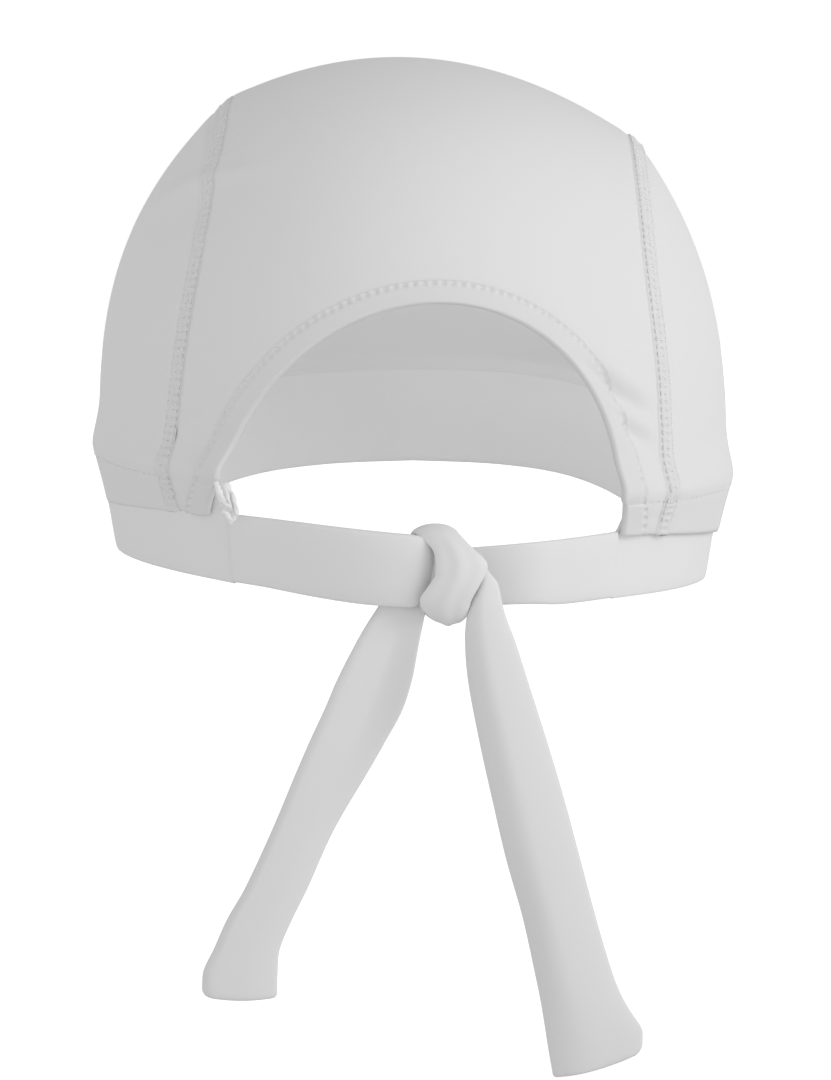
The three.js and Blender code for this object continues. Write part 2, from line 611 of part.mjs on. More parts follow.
// The headband: tucked under the body's hem all round, and bare past the arch's lower corners. Its
// tucked top shows a little past the left corner, where the seam ends.
function headband() {
  const tuck = HEM_LAP / HEM_HEIGHT;
  const strapRows = (rows, from, to, count) => steps(count).map((share) => {
    return { angle: lerp(from, to, share), strap: readTable(rows, share) };
  });
  const leftCorner = angleAt(ARCH_SHIFT - ARCH_WIDTH / 2 + SEAM_END, 0);
  const rightCorner = angleAt(ARCH_SHIFT + ARCH_WIDTH / 2, 0);
  const leftEnd = angleAt(KNOT_SHIFT - KNOT_WIDTH / 2, 0);
  const rightEnd = angleAt(KNOT_SHIFT + KNOT_WIDTH / 2, 0);
  const stations = [
    ...strapRows(LEFT_STRAP, leftCorner, leftEnd, LEFT_STRAP_STEPS).reverse(),
    ...steps(BAND_STEPS, leftCorner - CORNER_STEP, rightCorner + CORNER_STEP - 360)
      .map((angle) => ({ angle })),
    ...strapRows(RIGHT_STRAP, rightCorner - 360, rightEnd - 360, RIGHT_STRAP_STEPS),
  ];
  const section = [
    { at: 1, round: 0.7, level: tuck },
    { at: 0.97, round: 1, level: tuck * 0.93 },
    { at: 0.6, round: 1, level: 0 },
    { at: 0.25, round: 1, level: -0.58 },
    { at: 0.03, round: 1, level: -0.95 },
    { at: 0, round: 0.7, level: -1 },
  ];
  const skin = stations.map(({ angle, strap }) => section.map(({ at, level }) => {
    if (!strap) return ringPoint(angle, level);
    const top = ringPoint(angle, 0);
    const drop = (strap.sink + (1 - at) * strap.height) * BAND_HEIGHT;
    const point = ringPoint(angle, THREE.MathUtils.clamp(-drop / BAND_HEIGHT, -1, 0));
    return vector(point.x, point.y - strap.proud * KNOT_DEPTH, top.z - drop);
  }));
  return wall(skin, (i, j) => {
    const { round } = section[j];
    return [(1 - round) / 2 * BAND_THICKNESS, (1 + round) / 2 * BAND_THICKNESS];
  });
}

// The knot: a barrel round a tilted axis that runs from left to right.
const KNOT_CENTRE = vector(KNOT_SHIFT, -HALF_LENGTH - KNOT_PROUD, ARCH_FOOT - KNOT_SINK * BAND_HEIGHT);
function knotSections(shrink, lengthen) {
  const tilt = new THREE.Matrix4().makeRotationY(KNOT_TILT * RADIAN);
  return steps(KNOT_STEPS, -1, 1).map((along) => {
    const girth = Math.sqrt(1 - KNOT_ROUNDNESS * along ** 2);
    return Array.from({ length: KNOT_SIDES }, (_, k) => {
      const angle = 2 * Math.PI * k / KNOT_SIDES;
      const low = Math.max(-Math.sin(angle), 0);
      const behind = (1 - Math.cos(angle)) / 2;
      const half = (KNOT_WIDTH / 2 + lengthen) * (1 - KNOT_TAPER * low);
      const x = along * half - (along < 0 ? -along : 0) * KNOT_LOOP_SHIFT * behind;
      const point = vector(x, -(KNOT_DEPTH / 2 - shrink) * girth * Math.cos(angle),
        (KNOT_HEIGHT / 2 - shrink) * girth * Math.sin(angle));
      return point.applyMatrix4(tilt).add(KNOT_CENTRE);
    });
  });
}
const knotEnvelope = () => solidOf(loft(knotSections(-SEAM_GAP, SEAM_GAP)));
const coreEnvelope = () => solidOf(loft(knotSections(KNOT_WALL, CORE_PROUD + CORE_PROUD / 2)));

// The band of cloth wrapped over the knot, open at both ends.
function knotWrap() {
  const inside = solidOf(loft(knotSections(KNOT_WALL, KNOT_WIDTH / 4)));
  return geometryOf(solidOf(loft(knotSections(0, 0))).subtract(inside));
}

// The crossed strips inside the wrap, which show a little at its ends.
const CORE_PROUD = 1;
const knotCore = () => loft(knotSections(KNOT_WALL + SEAM_GAP, CORE_PROUD));

// A tail's section, once round: side is a share of half its width, face of half its thickness.
const TAIL_SECTION = [
  { side: -1, face: 0 },
  { side: -0.93, face: 1 },
  { side: -0.5, face: 1 },
  { side: 0, face: 1 },
  { side: 0.5, face: 1 },
  { side: 0.93, face: 1 },
  { side: 1, face: 0 },
  { side: 0.93, face: -1 },
  { side: 0.5, face: -1 },
  { side: 0, face: -1 },
  { side: -0.5, face: -1 },
  { side: -0.93, face: -1 },
];

// A tail: a flat doubled strip that hangs from the knot along its table's rows.
function tail(rows, length, start) {
  const sections = steps(TAIL_STEPS).map((share) => {
    const row = readTable(rows, share);
    const ahead = readTable(rows, Math.min(share + TAIL_STEP, 1));
    const behind = readTable(rows, Math.max(share - TAIL_STEP, 0));
    const down = vector((ahead.out - behind.out) * TAIL_WIDTH, -(ahead.back - behind.back) * TAIL_WIDTH,
      -(ahead.down - behind.down) * length).normalize();
    const across = vector(1, 0, 0).addScaledVector(down, -down.x).normalize();
    across.applyAxisAngle(down, row.turn * RADIAN);
    const proud = vector(0, 0, 0).crossVectors(across, down);
    const centre = vector(row.out * TAIL_WIDTH, -row.back * TAIL_WIDTH, -row.down * length).add(start);
    return TAIL_SECTION.map(({ side, face }) => centre.clone()
      .addScaledVector(across, side * row.width * TAIL_WIDTH / 2)
      .addScaledVector(proud, face * TAIL_THICKNESS / 2));
  });
  return loft(sections);
}

// Cuts a piece clear of the knot.
function clearOfKnot(geometry) {
  const cut = solidOf(geometry).subtract(knotEnvelope()).subtract(coreEnvelope());
  return geometryOf(cut);
}

const material = (color) => new THREE.MeshStandardMaterial({ color, roughness: 0.85, metalness: 0 });
const cap = new THREE.Group();
function add(name, geometry, color) {
  const mesh = new THREE.Mesh(geometry, material(color));
  mesh.name = name;
  cap.add(mesh);
}

const CROWN_WHITE = 0xe6e6e6;
const SEAM_WHITE = 0xdedede;
const BAND_WHITE = 0xebebeb;

const bandBottom = ARCH_FOOT - BAND_HEIGHT;
const leftStart = vector(KNOT_SHIFT, -HALF_LENGTH - LEFT_TAIL_PROUD, bandBottom);
const rightStart = vector(KNOT_SHIFT, -HALF_LENGTH - RIGHT_TAIL_PROUD, bandBottom + RIGHT_TAIL_RISE);
add("crown_centre_panel", crownCentrePanel(), CROWN_WHITE);
add("side_panel_right", sidePanel(1), CROWN_WHITE);
add("side_panel_left", sidePanel(-1), CROWN_WHITE);
add("side_seam_right", sideSeam(1), SEAM_WHITE);
add("side_seam_left", sideSeam(-1), SEAM_WHITE);
add("arch_hem", archHem(), SEAM_WHITE);
add("headband", clearOfKnot(headband()), BAND_WHITE);
add("knot_wrap", knotWrap(), BAND_WHITE);
add("knot_core", knotCore(), BAND_WHITE);
add("tie_tail_left", clearOfKnot(tail(LEFT_TAIL, LEFT_TAIL_LENGTH, leftStart)), BAND_WHITE);
add("tie_tail_right", clearOfKnot(tail(RIGHT_TAIL, RIGHT_TAIL_LENGTH, rightStart)), BAND_WHITE);

export default cap;
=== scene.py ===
"""Bandana swim cap in white stretch knit, in the form that it has when worn, seen from the back.

Lengths are in millimetres until a mesh is made. The front faces +Y, +X is the right side as seen
from the back, and the origin is the highest point inside the crown.
"""

from __future__ import annotations

import logging
import math
from collections.abc import Callable
from dataclasses import dataclass
from enum import Enum
from functools import lru_cache

import bmesh
import bpy
import numpy as np
from mathutils import Matrix, Vector


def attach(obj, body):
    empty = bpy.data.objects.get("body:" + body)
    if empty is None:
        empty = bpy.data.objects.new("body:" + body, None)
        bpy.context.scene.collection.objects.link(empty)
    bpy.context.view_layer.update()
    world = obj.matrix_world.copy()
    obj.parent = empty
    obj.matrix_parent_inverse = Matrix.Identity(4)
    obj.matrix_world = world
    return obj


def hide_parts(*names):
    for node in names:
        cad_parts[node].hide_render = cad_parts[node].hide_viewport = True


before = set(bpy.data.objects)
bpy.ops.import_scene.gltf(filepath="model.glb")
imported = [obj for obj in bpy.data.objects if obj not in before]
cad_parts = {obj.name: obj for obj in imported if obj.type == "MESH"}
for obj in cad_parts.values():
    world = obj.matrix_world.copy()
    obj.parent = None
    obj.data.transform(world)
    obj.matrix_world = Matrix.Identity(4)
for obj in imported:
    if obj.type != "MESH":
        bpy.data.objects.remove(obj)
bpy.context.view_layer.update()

LOG = logging.getLogger("cap")
MM = 0.001
BODY = "root"
PUCKER_HEIGHT = 0.06
PUCKERS = 60
Points = np.ndarray
Place = Callable[[np.ndarray, np.ndarray], Points]
Steps = tuple[float, float, int]


class Side(Enum):
    """A side of the cap, as the sign of its X."""

    LEFT = -1
    RIGHT = 1


def fine(count: int) -> int:
    """Segments of a mesh, returned unchanged.

    Args:
        count: Segments of the finished mesh.

    Returns:
        The count to build.
    """
    return count


def lerp(first: np.ndarray, last: np.ndarray, share: np.ndarray) -> np.ndarray:
    """The value at a share of the way from first to last."""
    return first + (last - first) * share


def smooth(share: np.ndarray) -> np.ndarray:
    """An eased step from 0 to 1."""
    share = np.clip(share, 0.0, 1.0)
    return share * share * (3.0 - 2.0 * share)


def bump(away: np.ndarray, width: float) -> np.ndarray:
    """A soft bump of height 1 at 0.

    Args:
        away: Distance from its middle.
        width: Distance at which it has mostly faded.

    Returns:
        Its height.
    """
    return np.exp(-((away / width) ** 2))


def powered(value: np.ndarray, power: float) -> np.ndarray:
    """A value raised to a power, with its sign kept."""
    return np.sign(value) * np.abs(value) ** power


def unit(ways: Points) -> Points:
    """The ways at length 1."""
    return ways / np.maximum(np.linalg.norm(ways, axis=-1, keepdims=True), 1e-12)


def facing(ways: Points, guide: Points) -> Points:
    """The ways, each turned to the side that its guide points to."""
    return ways * np.where((ways * guide).sum(-1, keepdims=True) < 0, -1.0, 1.0)


def puckered(beside: np.ndarray, along: np.ndarray, reach: float) -> np.ndarray:
    """The small waves that the thread's pull leaves beside a seam.

    Args:
        beside: Distance from the middle of the waves.
        along: Share along the seam.
        reach: Distance at which they have mostly faded.

    Returns:
        Their height.
    """
    return PUCKER_HEIGHT * bump(beside, reach) * np.sin(2 * np.pi * PUCKERS * along)


class Table:
    """A short table read between its rows by a smooth curve through each column."""

    def __init__(self, columns: str, *rows: tuple[float, ...]) -> None:
        """Keeps the rows.

        Args:
            columns: The columns' names, the first being the place that the rows are read by.
            rows: One tuple of numbers for each row.
        """
        self.names = columns.split()
        self.values = np.array(rows, dtype=float)

    def read(self, at: np.ndarray) -> dict[str, np.ndarray]:
        """Reads every column.

        Args:
            at: Places along the table.

        Returns:
            The columns' values by name.
        """
        knots = self.values[:, 0]
        at = np.asarray(at, dtype=float)
        last = len(knots) - 1
        low = np.clip(np.searchsorted(knots, at, side="left") - 1, 0, last - 1)
        high = low + 1
        span = knots[high] - knots[low]
        u = np.clip((at - knots[low]) / span, 0.0, 1.0)
        before = np.maximum(np.arange(last + 1) - 1, 0)
        after = np.minimum(np.arange(last + 1) + 1, last)
        square, cube = u * u, u * u * u
        result = {}
        for name, column in zip(self.names, self.values.T):
            slope = (column[after] - column[before]) / (knots[after] - knots[before])
            result[name] = (2 * cube - 3 * square + 1) * column[low] + (3 * square - 2 * cube) * column[high]
            result[name] += (cube - 2 * square + u) * slope[low] * span + (cube - square) * slope[high] * span
        return result


EDGE = Table(
    "at rise dip hem band",
    (0, 0.0, 1.0, 0.68, 1.0),
    (24, 0.0, 0.2, 0.68, 1.02),
    (48, 0.0, 0.0, 0.72, 0.91),
    (75, -0.03, 0.0, 0.92, 0.77),
    (95, -0.04, 0.0, 1.0, 0.73),
    (115, 0.18, 0.0, 0.95, 0.78),
    (132, 0.6, 0.0, 0.85, 0.86),
    (147, 0.84, 0.0, 0.85, 0.9),
    (163, 0.96, 0.0, 0.85, 0.92),
    (180, 1.0, 0.0, 0.85, 0.92),
)

PULL = Table("at pull", (-1, 1.0), (-0.5, 0.88), (0, 0.7), (0.85, 0.2), (1, 0.0))

ARCHES = (
    (0.1, 0.685, 0.585, 0.722, 55, 0.975, 0.513),
    (0.2, 0.62, 0.402, 0.68, 54, 0.893, 0.326),
    (0.3, 0.488, 0.248, 0.652, 50, 0.7, 0.159),
    (0.4, 0.27, 0.145, 0.636, 44, 0.4, 0.043),
    (0.5, 0.0, 0.114, 0.63, 41, 0.0, 0.0),
    (0.6, -0.258, 0.138, 0.636, 43, -0.385, 0.037),
    (0.7, -0.485, 0.248, 0.652, 48, -0.69, 0.152),
    (0.8, -0.64, 0.424, 0.678, 52, -0.893, 0.348),
    (0.9, -0.706, 0.65, 0.72, 54, -0.985, 0.616),
)


@dataclass(frozen=True)
class Fold:
    """A soft fold in the cloth at the back, along places given as X and Z, that fades at both ends."""

    height: float
    spread: float
    route: tuple[tuple[float, float], ...]

    def lift(self, here: np.ndarray) -> np.ndarray:
        """How far the fold lifts the cloth.

        Args:
            here: X and Z of the places.

        Returns:
            The lift.
        """
        best = np.full(here.shape[:-1], 1e9)
        run = np.zeros(here.shape[:-1])
        count = len(self.route) - 1
        for number, (start, end) in enumerate(zip(self.route, self.route[1:])):
            line = np.subtract(end, start)
            share = np.clip(((here - start) @ line) / (line @ line), 0, 1)
            away = np.linalg.norm(here - start - share[..., None] * line, axis=-1)
            run = np.where(away < best, (number + share) / count, run)
            best = np.minimum(best, away)
        taper = smooth(np.minimum(run, 1 - run) / 0.3) * 0.9 + 0.1
        return self.height * taper * bump(best, self.spread)


FOLDS = (
    Fold(0.7, 1.7, ((-68, -41), (-58, -33.5), (-51.3, -30), (-40, -28.4), (-29, -28))),
    Fold(-0.5, 3.4, ((-63, -45), (-54, -38), (-46, -34.5))),
    Fold(-0.55, 2.4, ((-43.2, -13), (-45, -19), (-46.5, -27))),
    Fold(0.3, 2.0, ((-52, -24), (-49.5, -17.5), (-46, -12.5))),
    Fold(0.45, 1.3, ((-57, -92), (-49.2, -85.3), (-43, -80.4), (-37.5, -75))),
    Fold(-0.4, 3.0, ((-54, -97), (-47, -90), (-41, -85))),
    Fold(-2.1, 1.9, ((37, -73), (41, -76.1), (49.3, -82), (57, -87.8))),
    Fold(0.8, 2.6, ((42, -71.5), (50, -77), (58, -82.5))),
    Fold(0.6, 2.0, ((45, -82), (52, -87.4), (58, -92))),
    Fold(-1.9, 2.0, ((45, -83.2), (47.8, -86), (52.9, -91.1), (58, -96))),
    Fold(-0.35, 1.2, ((-59, -106.2), (-48.9, -110.1), (-43, -113.4))),
)


@dataclass(frozen=True)
class CapForm:
    """The head's form and the cap's skin on it."""

    head_width: float = 155.0
    head_length: float = 188.0
    crown_depth: float = 111.5
    plan_power: float = 2.2
    cloth: float = 1.2
    seam_gap: float = 0.3
    hem_height: float = 14.0
    hem_lap: float = 10.4
    edge_pull: float = 6.0
    front_rise: float = 24.0
    back_dip: float = 1.8
    skew: float = 0.05
    seam_shift: float = 5.2
    seam_shift_at_hem: float = 2.0
    band_height: float = 17.0
    band_thickness: float = 2.0
    arch_width: float = 94.6
    arch_height: float = 52.3
    arch_shift: float = 0.6
    arch_sway: float = 7.6
    arch_hem_width: float = 4.8
    seam_angle: float = 46.5
    side_end_run: float = 0.02
    side_fullness: float = 2.8
    side_gather: float = 0.09
    shoulder_angle: float = 26.0
    folds_fade: float = 20.0

    @property
    def half_width(self) -> float:
        """Half the head's width."""
        return self.head_width / 2

    @property
    def half_length(self) -> float:
        """Half the head's length."""
        return self.head_length / 2

    @property
    def hem_lift(self) -> float:
        """How far the body's hem stands off the head, over the headband's tucked top."""
        return self.band_thickness + self.seam_gap

    def inset(self, level: np.ndarray) -> np.ndarray:
        """How far the elastic edge draws the ring in at a level."""
        return PULL.read(level)["pull"] * self.edge_pull

    def edge_height(self, edge: dict[str, np.ndarray]) -> np.ndarray:
        """Height of the body's edge at a row of the EDGE table."""
        return -self.crown_depth + edge["rise"] * self.front_rise - edge["dip"] * self.back_dip

    def ring(self, angle: np.ndarray, level: np.ndarray) -> Points:
        """Points of the ring round the head.

        Args:
            angle: Degrees from the centre back, positive to the right.
            level: 1 at the top of the hem, 0 at the body's edge, -1 at the bottom of the headband.

        Returns:
            The points.
        """
        angle, level = np.broadcast_arrays(np.asarray(angle, float), np.asarray(level, float))
        edge = EDGE.read(np.abs((angle + 540) % 360 - 180))
        x = (self.half_width - self.inset(level)) * powered(np.sin(np.radians(angle)), 2 / self.plan_power)
        y = -(self.half_length - self.inset(level)) * powered(np.cos(np.radians(angle)), 2 / self.plan_power)
        step = np.where(level > 0, edge["hem"] * self.hem_height, edge["band"] * self.band_height)
        return np.stack([x, y, self.edge_height(edge) + level * step], axis=-1)

    def angle_at(self, x: np.ndarray, level: np.ndarray) -> np.ndarray:
        """The angle at which the ring's back half reaches a place across."""
        reach = np.clip(np.abs(x) / (self.half_width - self.inset(level)), 0, 1)
        return np.sign(x) * np.degrees(np.arcsin(reach ** (self.plan_power / 2)))

    def seam_place(self, side: Side, grow: float | np.ndarray) -> np.ndarray:
        """The ring's angle at a side's seam, grown outward by a distance."""
        one = self.ring(self.seam_angle + 0.5, 1.0) - self.ring(self.seam_angle - 0.5, 1.0)
        return self.seam_angle + (side.value * self.seam_shift_at_hem + grow) / np.linalg.norm(one)

    @lru_cache
    def arch_rows(self) -> Table:
        """The seam and the crown's centre line as lengths, with both ends taken from the ring.

        Returns:
            The table.
        """
        def end(at: float, angle: float, middle: float) -> tuple[float, ...]:
            """The row at one end, from the ring's angles at the corner and in the middle."""
            corner, centre = self.ring(angle, 1.0), self.ring(middle, 1.0)
            way = self.ring(angle + 1, 1.0) - self.ring(angle - 1, 1.0)
            turn = math.degrees(math.atan2(abs(way[1]), abs(way[0])))
            return (at, *corner, turn, self.seam_shift_at_hem, centre[1], centre[2])

        rows = [end(0, 180 - self.seam_angle, 180)]
        for at, forward, drop, out, turn, mid_forward, mid_drop in ARCHES:
            shift = lerp(self.seam_shift, self.seam_shift_at_hem, abs(2 * at - 1) ** 2.5)
            place = (out * self.half_width, forward * self.half_length, -drop * self.crown_depth)
            middle = (mid_forward * self.half_length, -mid_drop * self.crown_depth)
            rows.append((at, *place, turn, shift, *middle))
        rows.append(end(1, self.seam_angle, 0))
        return Table("at x y z turn shift midY midZ", *rows)

    def seam(self, run: np.ndarray, distance: np.ndarray, side: Side) -> Points:
        """Points of the skin beside a seam.

        Args:
            run: -1 at the front edge, 0 and 1 where the hem begins, 2 at the back edge.
            distance: Distance outward from the seam.
            side: Which seam.

        Returns:
            The points, before the cap has settled.
        """
        run, distance = np.broadcast_arrays(np.asarray(run, float), np.asarray(distance, float))
        shape, run, distance = run.shape, run.ravel(), distance.ravel()
        rows = self.arch_rows()
        angle = self.seam_place(side, distance)
        on_ring = self.ring(np.where(run < 0, 180 - angle, angle), np.where(run < 0, 1 + run, 2 - run))
        row = rows.read(run)
        step = 0.01
        before, after = rows.read(np.maximum(run - step, 0)), rows.read(np.minimum(run + step, 1))
        tangent = unit(np.stack([after[k] - before[k] for k in "xyz"], axis=-1))
        sideways = unit(np.array([1.0, 0, 0]) - tangent * tangent[:, :1])
        head = np.stack([0 * row["x"], -row["y"], -self.crown_depth - row["z"]], axis=-1)
        inward = facing(np.cross(tangent, sideways), head)
        shoulder = self.shoulder_angle * (1 - (2 * run - 1) ** 2) if side is Side.LEFT else 0 * run
        over, turn = np.radians(row["turn"] - shoulder), np.radians(row["turn"])
        shift = side.value * row["shift"]
        along = np.cos(over) * shift + np.cos(turn) * distance
        down = np.sin(over) * shift + np.sin(turn) * distance
        point = np.stack([row["x"], row["y"], row["z"]], axis=-1)
        point = point + sideways * along[:, None] + inward * down[:, None]
        point = np.where(((run < 0) | (run > 1))[:, None], on_ring, point)
        point[:, 0] *= side.value
        return point.reshape(*shape, 3)

    def crown(self, run: np.ndarray, across: np.ndarray) -> Points:
        """Points of the centre panel's skin.

        Args:
            run: -1 at the front edge, 0 and 1 where the hem begins, 2 at the back edge.
            across: -1 at the left seam, 1 at the right one.

        Returns:
            The points, before the cap has settled.
        """
        run, across = np.broadcast_arrays(np.asarray(run, float), np.asarray(across, float))
        share = (across + 1) / 2
        rows = self.arch_rows()
        corner = {side: self.seam_place(side, 0.0) for side in Side}

        def ring_across(level: np.ndarray, front: np.ndarray) -> Points:
            """The panel's skin on the ring, at the front or the back."""
            left = self.ring(-corner[Side.LEFT] + 0 * level, level)[..., 0]
            right = self.ring(corner[Side.RIGHT] + 0 * level, level)[..., 0]
            angle = self.angle_at(lerp(left, right, share), level)
            return self.ring(np.where(front, 180 - angle, angle), level)

        def dome(at: np.ndarray) -> Points:
            """The panel's skin between the seams, bowed up to the crown's centre line."""
            row = rows.read(at)
            left, right = self.seam(at, 0.0 * at, Side.LEFT), self.seam(at, 0.0 * at, Side.RIGHT)
            point = lerp(left, right, share[..., None])
            rise = 1 - across**2
            point[..., 1] += rise * (row["midY"] - (left[..., 1] + right[..., 1]) / 2)
            point[..., 2] += rise * (row["midZ"] - (left[..., 2] + right[..., 2]) / 2)
            return point

        front = run < 0.5
        inner = np.clip(run, 0, 1)
        end = np.where(front, 0.0, 1.0)
        mend = ring_across(np.ones_like(run), front) - dome(end)
        top = dome(inner) + mend * (np.abs(2 * inner - 1) ** 4)[..., None]
        low = ring_across(np.where(front, 1 + run, 2 - run), front)
        return np.where(((run < 0) | (run > 1))[..., None], low, top)

    def side(self, along: np.ndarray, fall: np.ndarray, side: Side, start: float) -> Points:
        """Points of a side panel's skin.

        Args:
            along: 0 at the front corner, 1 at the back one.
            fall: 0 beside the seam, 1 at the top of the hem, 2 at the body's edge.
            side: Which panel.
            start: Distance from the seam to the panel's own edge.

        Returns:
            The points, before the cap has settled.
        """
        along, fall = np.broadcast_arrays(np.asarray(along, float), np.asarray(fall, float))
        spread = along - self.side_gather * np.sin(2 * np.pi * along)
        corner = self.seam_place(side, start)
        angle = lerp(180 - corner, corner, spread)
        low = self.ring(angle, np.clip(2 - fall, 0, 1))
        low[..., 0] *= side.value
        run = lerp(self.side_end_run, 1 - self.side_end_run, along)
        top = self.seam(run, start + 0 * run, side)
        foot = self.ring(angle, np.ones_like(angle))
        foot[..., 0] *= side.value
        outward = 1 - np.clip(1 - fall, 0, 1) ** self.side_fullness
        high = lerp(top, foot, np.stack([outward, outward, np.clip(fall, 0, 1)], axis=-1))
        return np.where((fall > 1)[..., None], low, high)

    def settled(self, points: Points, way: int = 1) -> Points:
        """The points once the cap has settled a little askew on the head.

        Args:
            points: The points.
            way: 1 to settle them, -1 to undo it.

        Returns:
            The moved points.
        """
        share = 1 - smooth(points[..., 1] / self.half_length)
        result = points.copy()
        result[..., 2] -= way * self.skew * points[..., 0] * share
        return result

    def fold_lift(self, points: Points) -> np.ndarray:
        """How far the folds lift the cloth at settled points of the back."""
        here = points[..., [0, 2]]
        return sum(fold.lift(here) for fold in FOLDS) * smooth(-points[..., 1] / self.folds_fade)

    def level(self, points: Points) -> np.ndarray:
        """The hem's level at settled points.

        Args:
            points: The points.

        Returns:
            The level, 0 at the body's edge and above 1 over the hem.
        """
        flat = self.settled(points, -1)
        x = powered(flat[..., 0] / self.half_width, self.plan_power / 2)
        y = -powered(flat[..., 1] / self.half_length, self.plan_power / 2)
        edge = EDGE.read(np.abs(np.degrees(np.arctan2(x, y))))
        return (flat[..., 2] - self.edge_height(edge)) / (edge["hem"] * self.hem_height)

    def arch_line(self, share: np.ndarray, grow: np.ndarray) -> np.ndarray:
        """The arch's outline from behind.

        Args:
            share: 0 at its right foot, 1 at its left foot.
            grow: Distance outward from its edge.

        Returns:
            X and Z of the points.
        """
        angle = np.pi * np.asarray(share, float)
        x = (self.arch_width / 2 + grow) * np.cos(angle) + self.arch_shift + self.arch_sway * np.sin(angle)
        z = -self.crown_depth + (self.arch_height + grow) * np.sin(angle) - self.skew * x
        return np.stack([x, z], axis=-1)

    def arch_distance(self, points: Points) -> np.ndarray:
        """How far settled points lie outside the arch.

        Args:
            points: Points of the back.

        Returns:
            The distance, negative inside it and large at the front.
        """
        x, z = points[..., 0], points[..., 2]
        half = self.arch_width / 2
        rise = (z + self.crown_depth + self.skew * x) / self.arch_height
        reach = (x - self.arch_shift - self.arch_sway * np.clip(rise, 0, 1)) / half
        angle = np.arctan2(np.maximum(rise, 0), reach)
        size = np.hypot(reach, np.maximum(rise, 0))
        radius = np.hypot(half * np.cos(angle), self.arch_height * np.sin(angle))
        return np.where(points[..., 1] > 0, 1e3, (size - 1) * radius)

    def back(self, flat: np.ndarray) -> Points:
        """Settled points of the back's skin at places seen from behind.

        Args:
            flat: X and Z of the places.

        Returns:
            The points.
        """
        x, z = flat[..., 0], flat[..., 1]
        low, high = np.full(x.shape, 0.5), np.full(x.shape, 2.2)
        halvings = 22
        for _ in range(halvings):
            run = (low + high) / 2
            left, right = self.crown(run, -np.ones_like(run)), self.crown(run, np.ones_like(run))
            across = np.clip(2 * (x - left[..., 0]) / (right[..., 0] - left[..., 0]) - 1, -1, 1)
            point = self.settled(self.crown(run, across))
            above = point[..., 2] > z
            low, high = np.where(above, run, low), np.where(above, high, run)
        return point


FORM = CapForm()
SEAM_RUNS = (-1.0, 0.0, 1.0, 2.0)
SEAM_SHARES = (0.0, 0.045, 0.955, 1.0)
HEAD_MIDDLE = np.array([0.0, 0.0, -0.7 * FORM.crown_depth])


Value = float | tuple[float, ...] | bpy.types.NodeSocket


def add_node(tree: bpy.types.NodeTree, kind: str, inputs: dict[str | int, Value], **settings: str) -> bpy.types.Node:
    """Adds a node to a material or a world.

    Args:
        tree: The material's or the world's nodes.
        kind: The node's type.
        inputs: A value for each input, or the output that feeds it.
        settings: The node's own settings.

    Returns:
        The node.
    """
    node = tree.nodes.new(kind)
    for name, value in settings.items():
        setattr(node, name, value)
    feed(tree, node, inputs)
    return node


def feed(tree: bpy.types.NodeTree, node: bpy.types.Node, inputs: dict[str | int, Value]) -> None:
    """Sets a node's inputs.

    Args:
        tree: The nodes that it belongs to.
        node: The node.
        inputs: A value for each input, or the output that feeds it.
    """
    for name, value in inputs.items():
        if isinstance(value, bpy.types.NodeSocket):
            tree.links.new(value, node.inputs[name])
        else:
            node.inputs[name].default_value = value


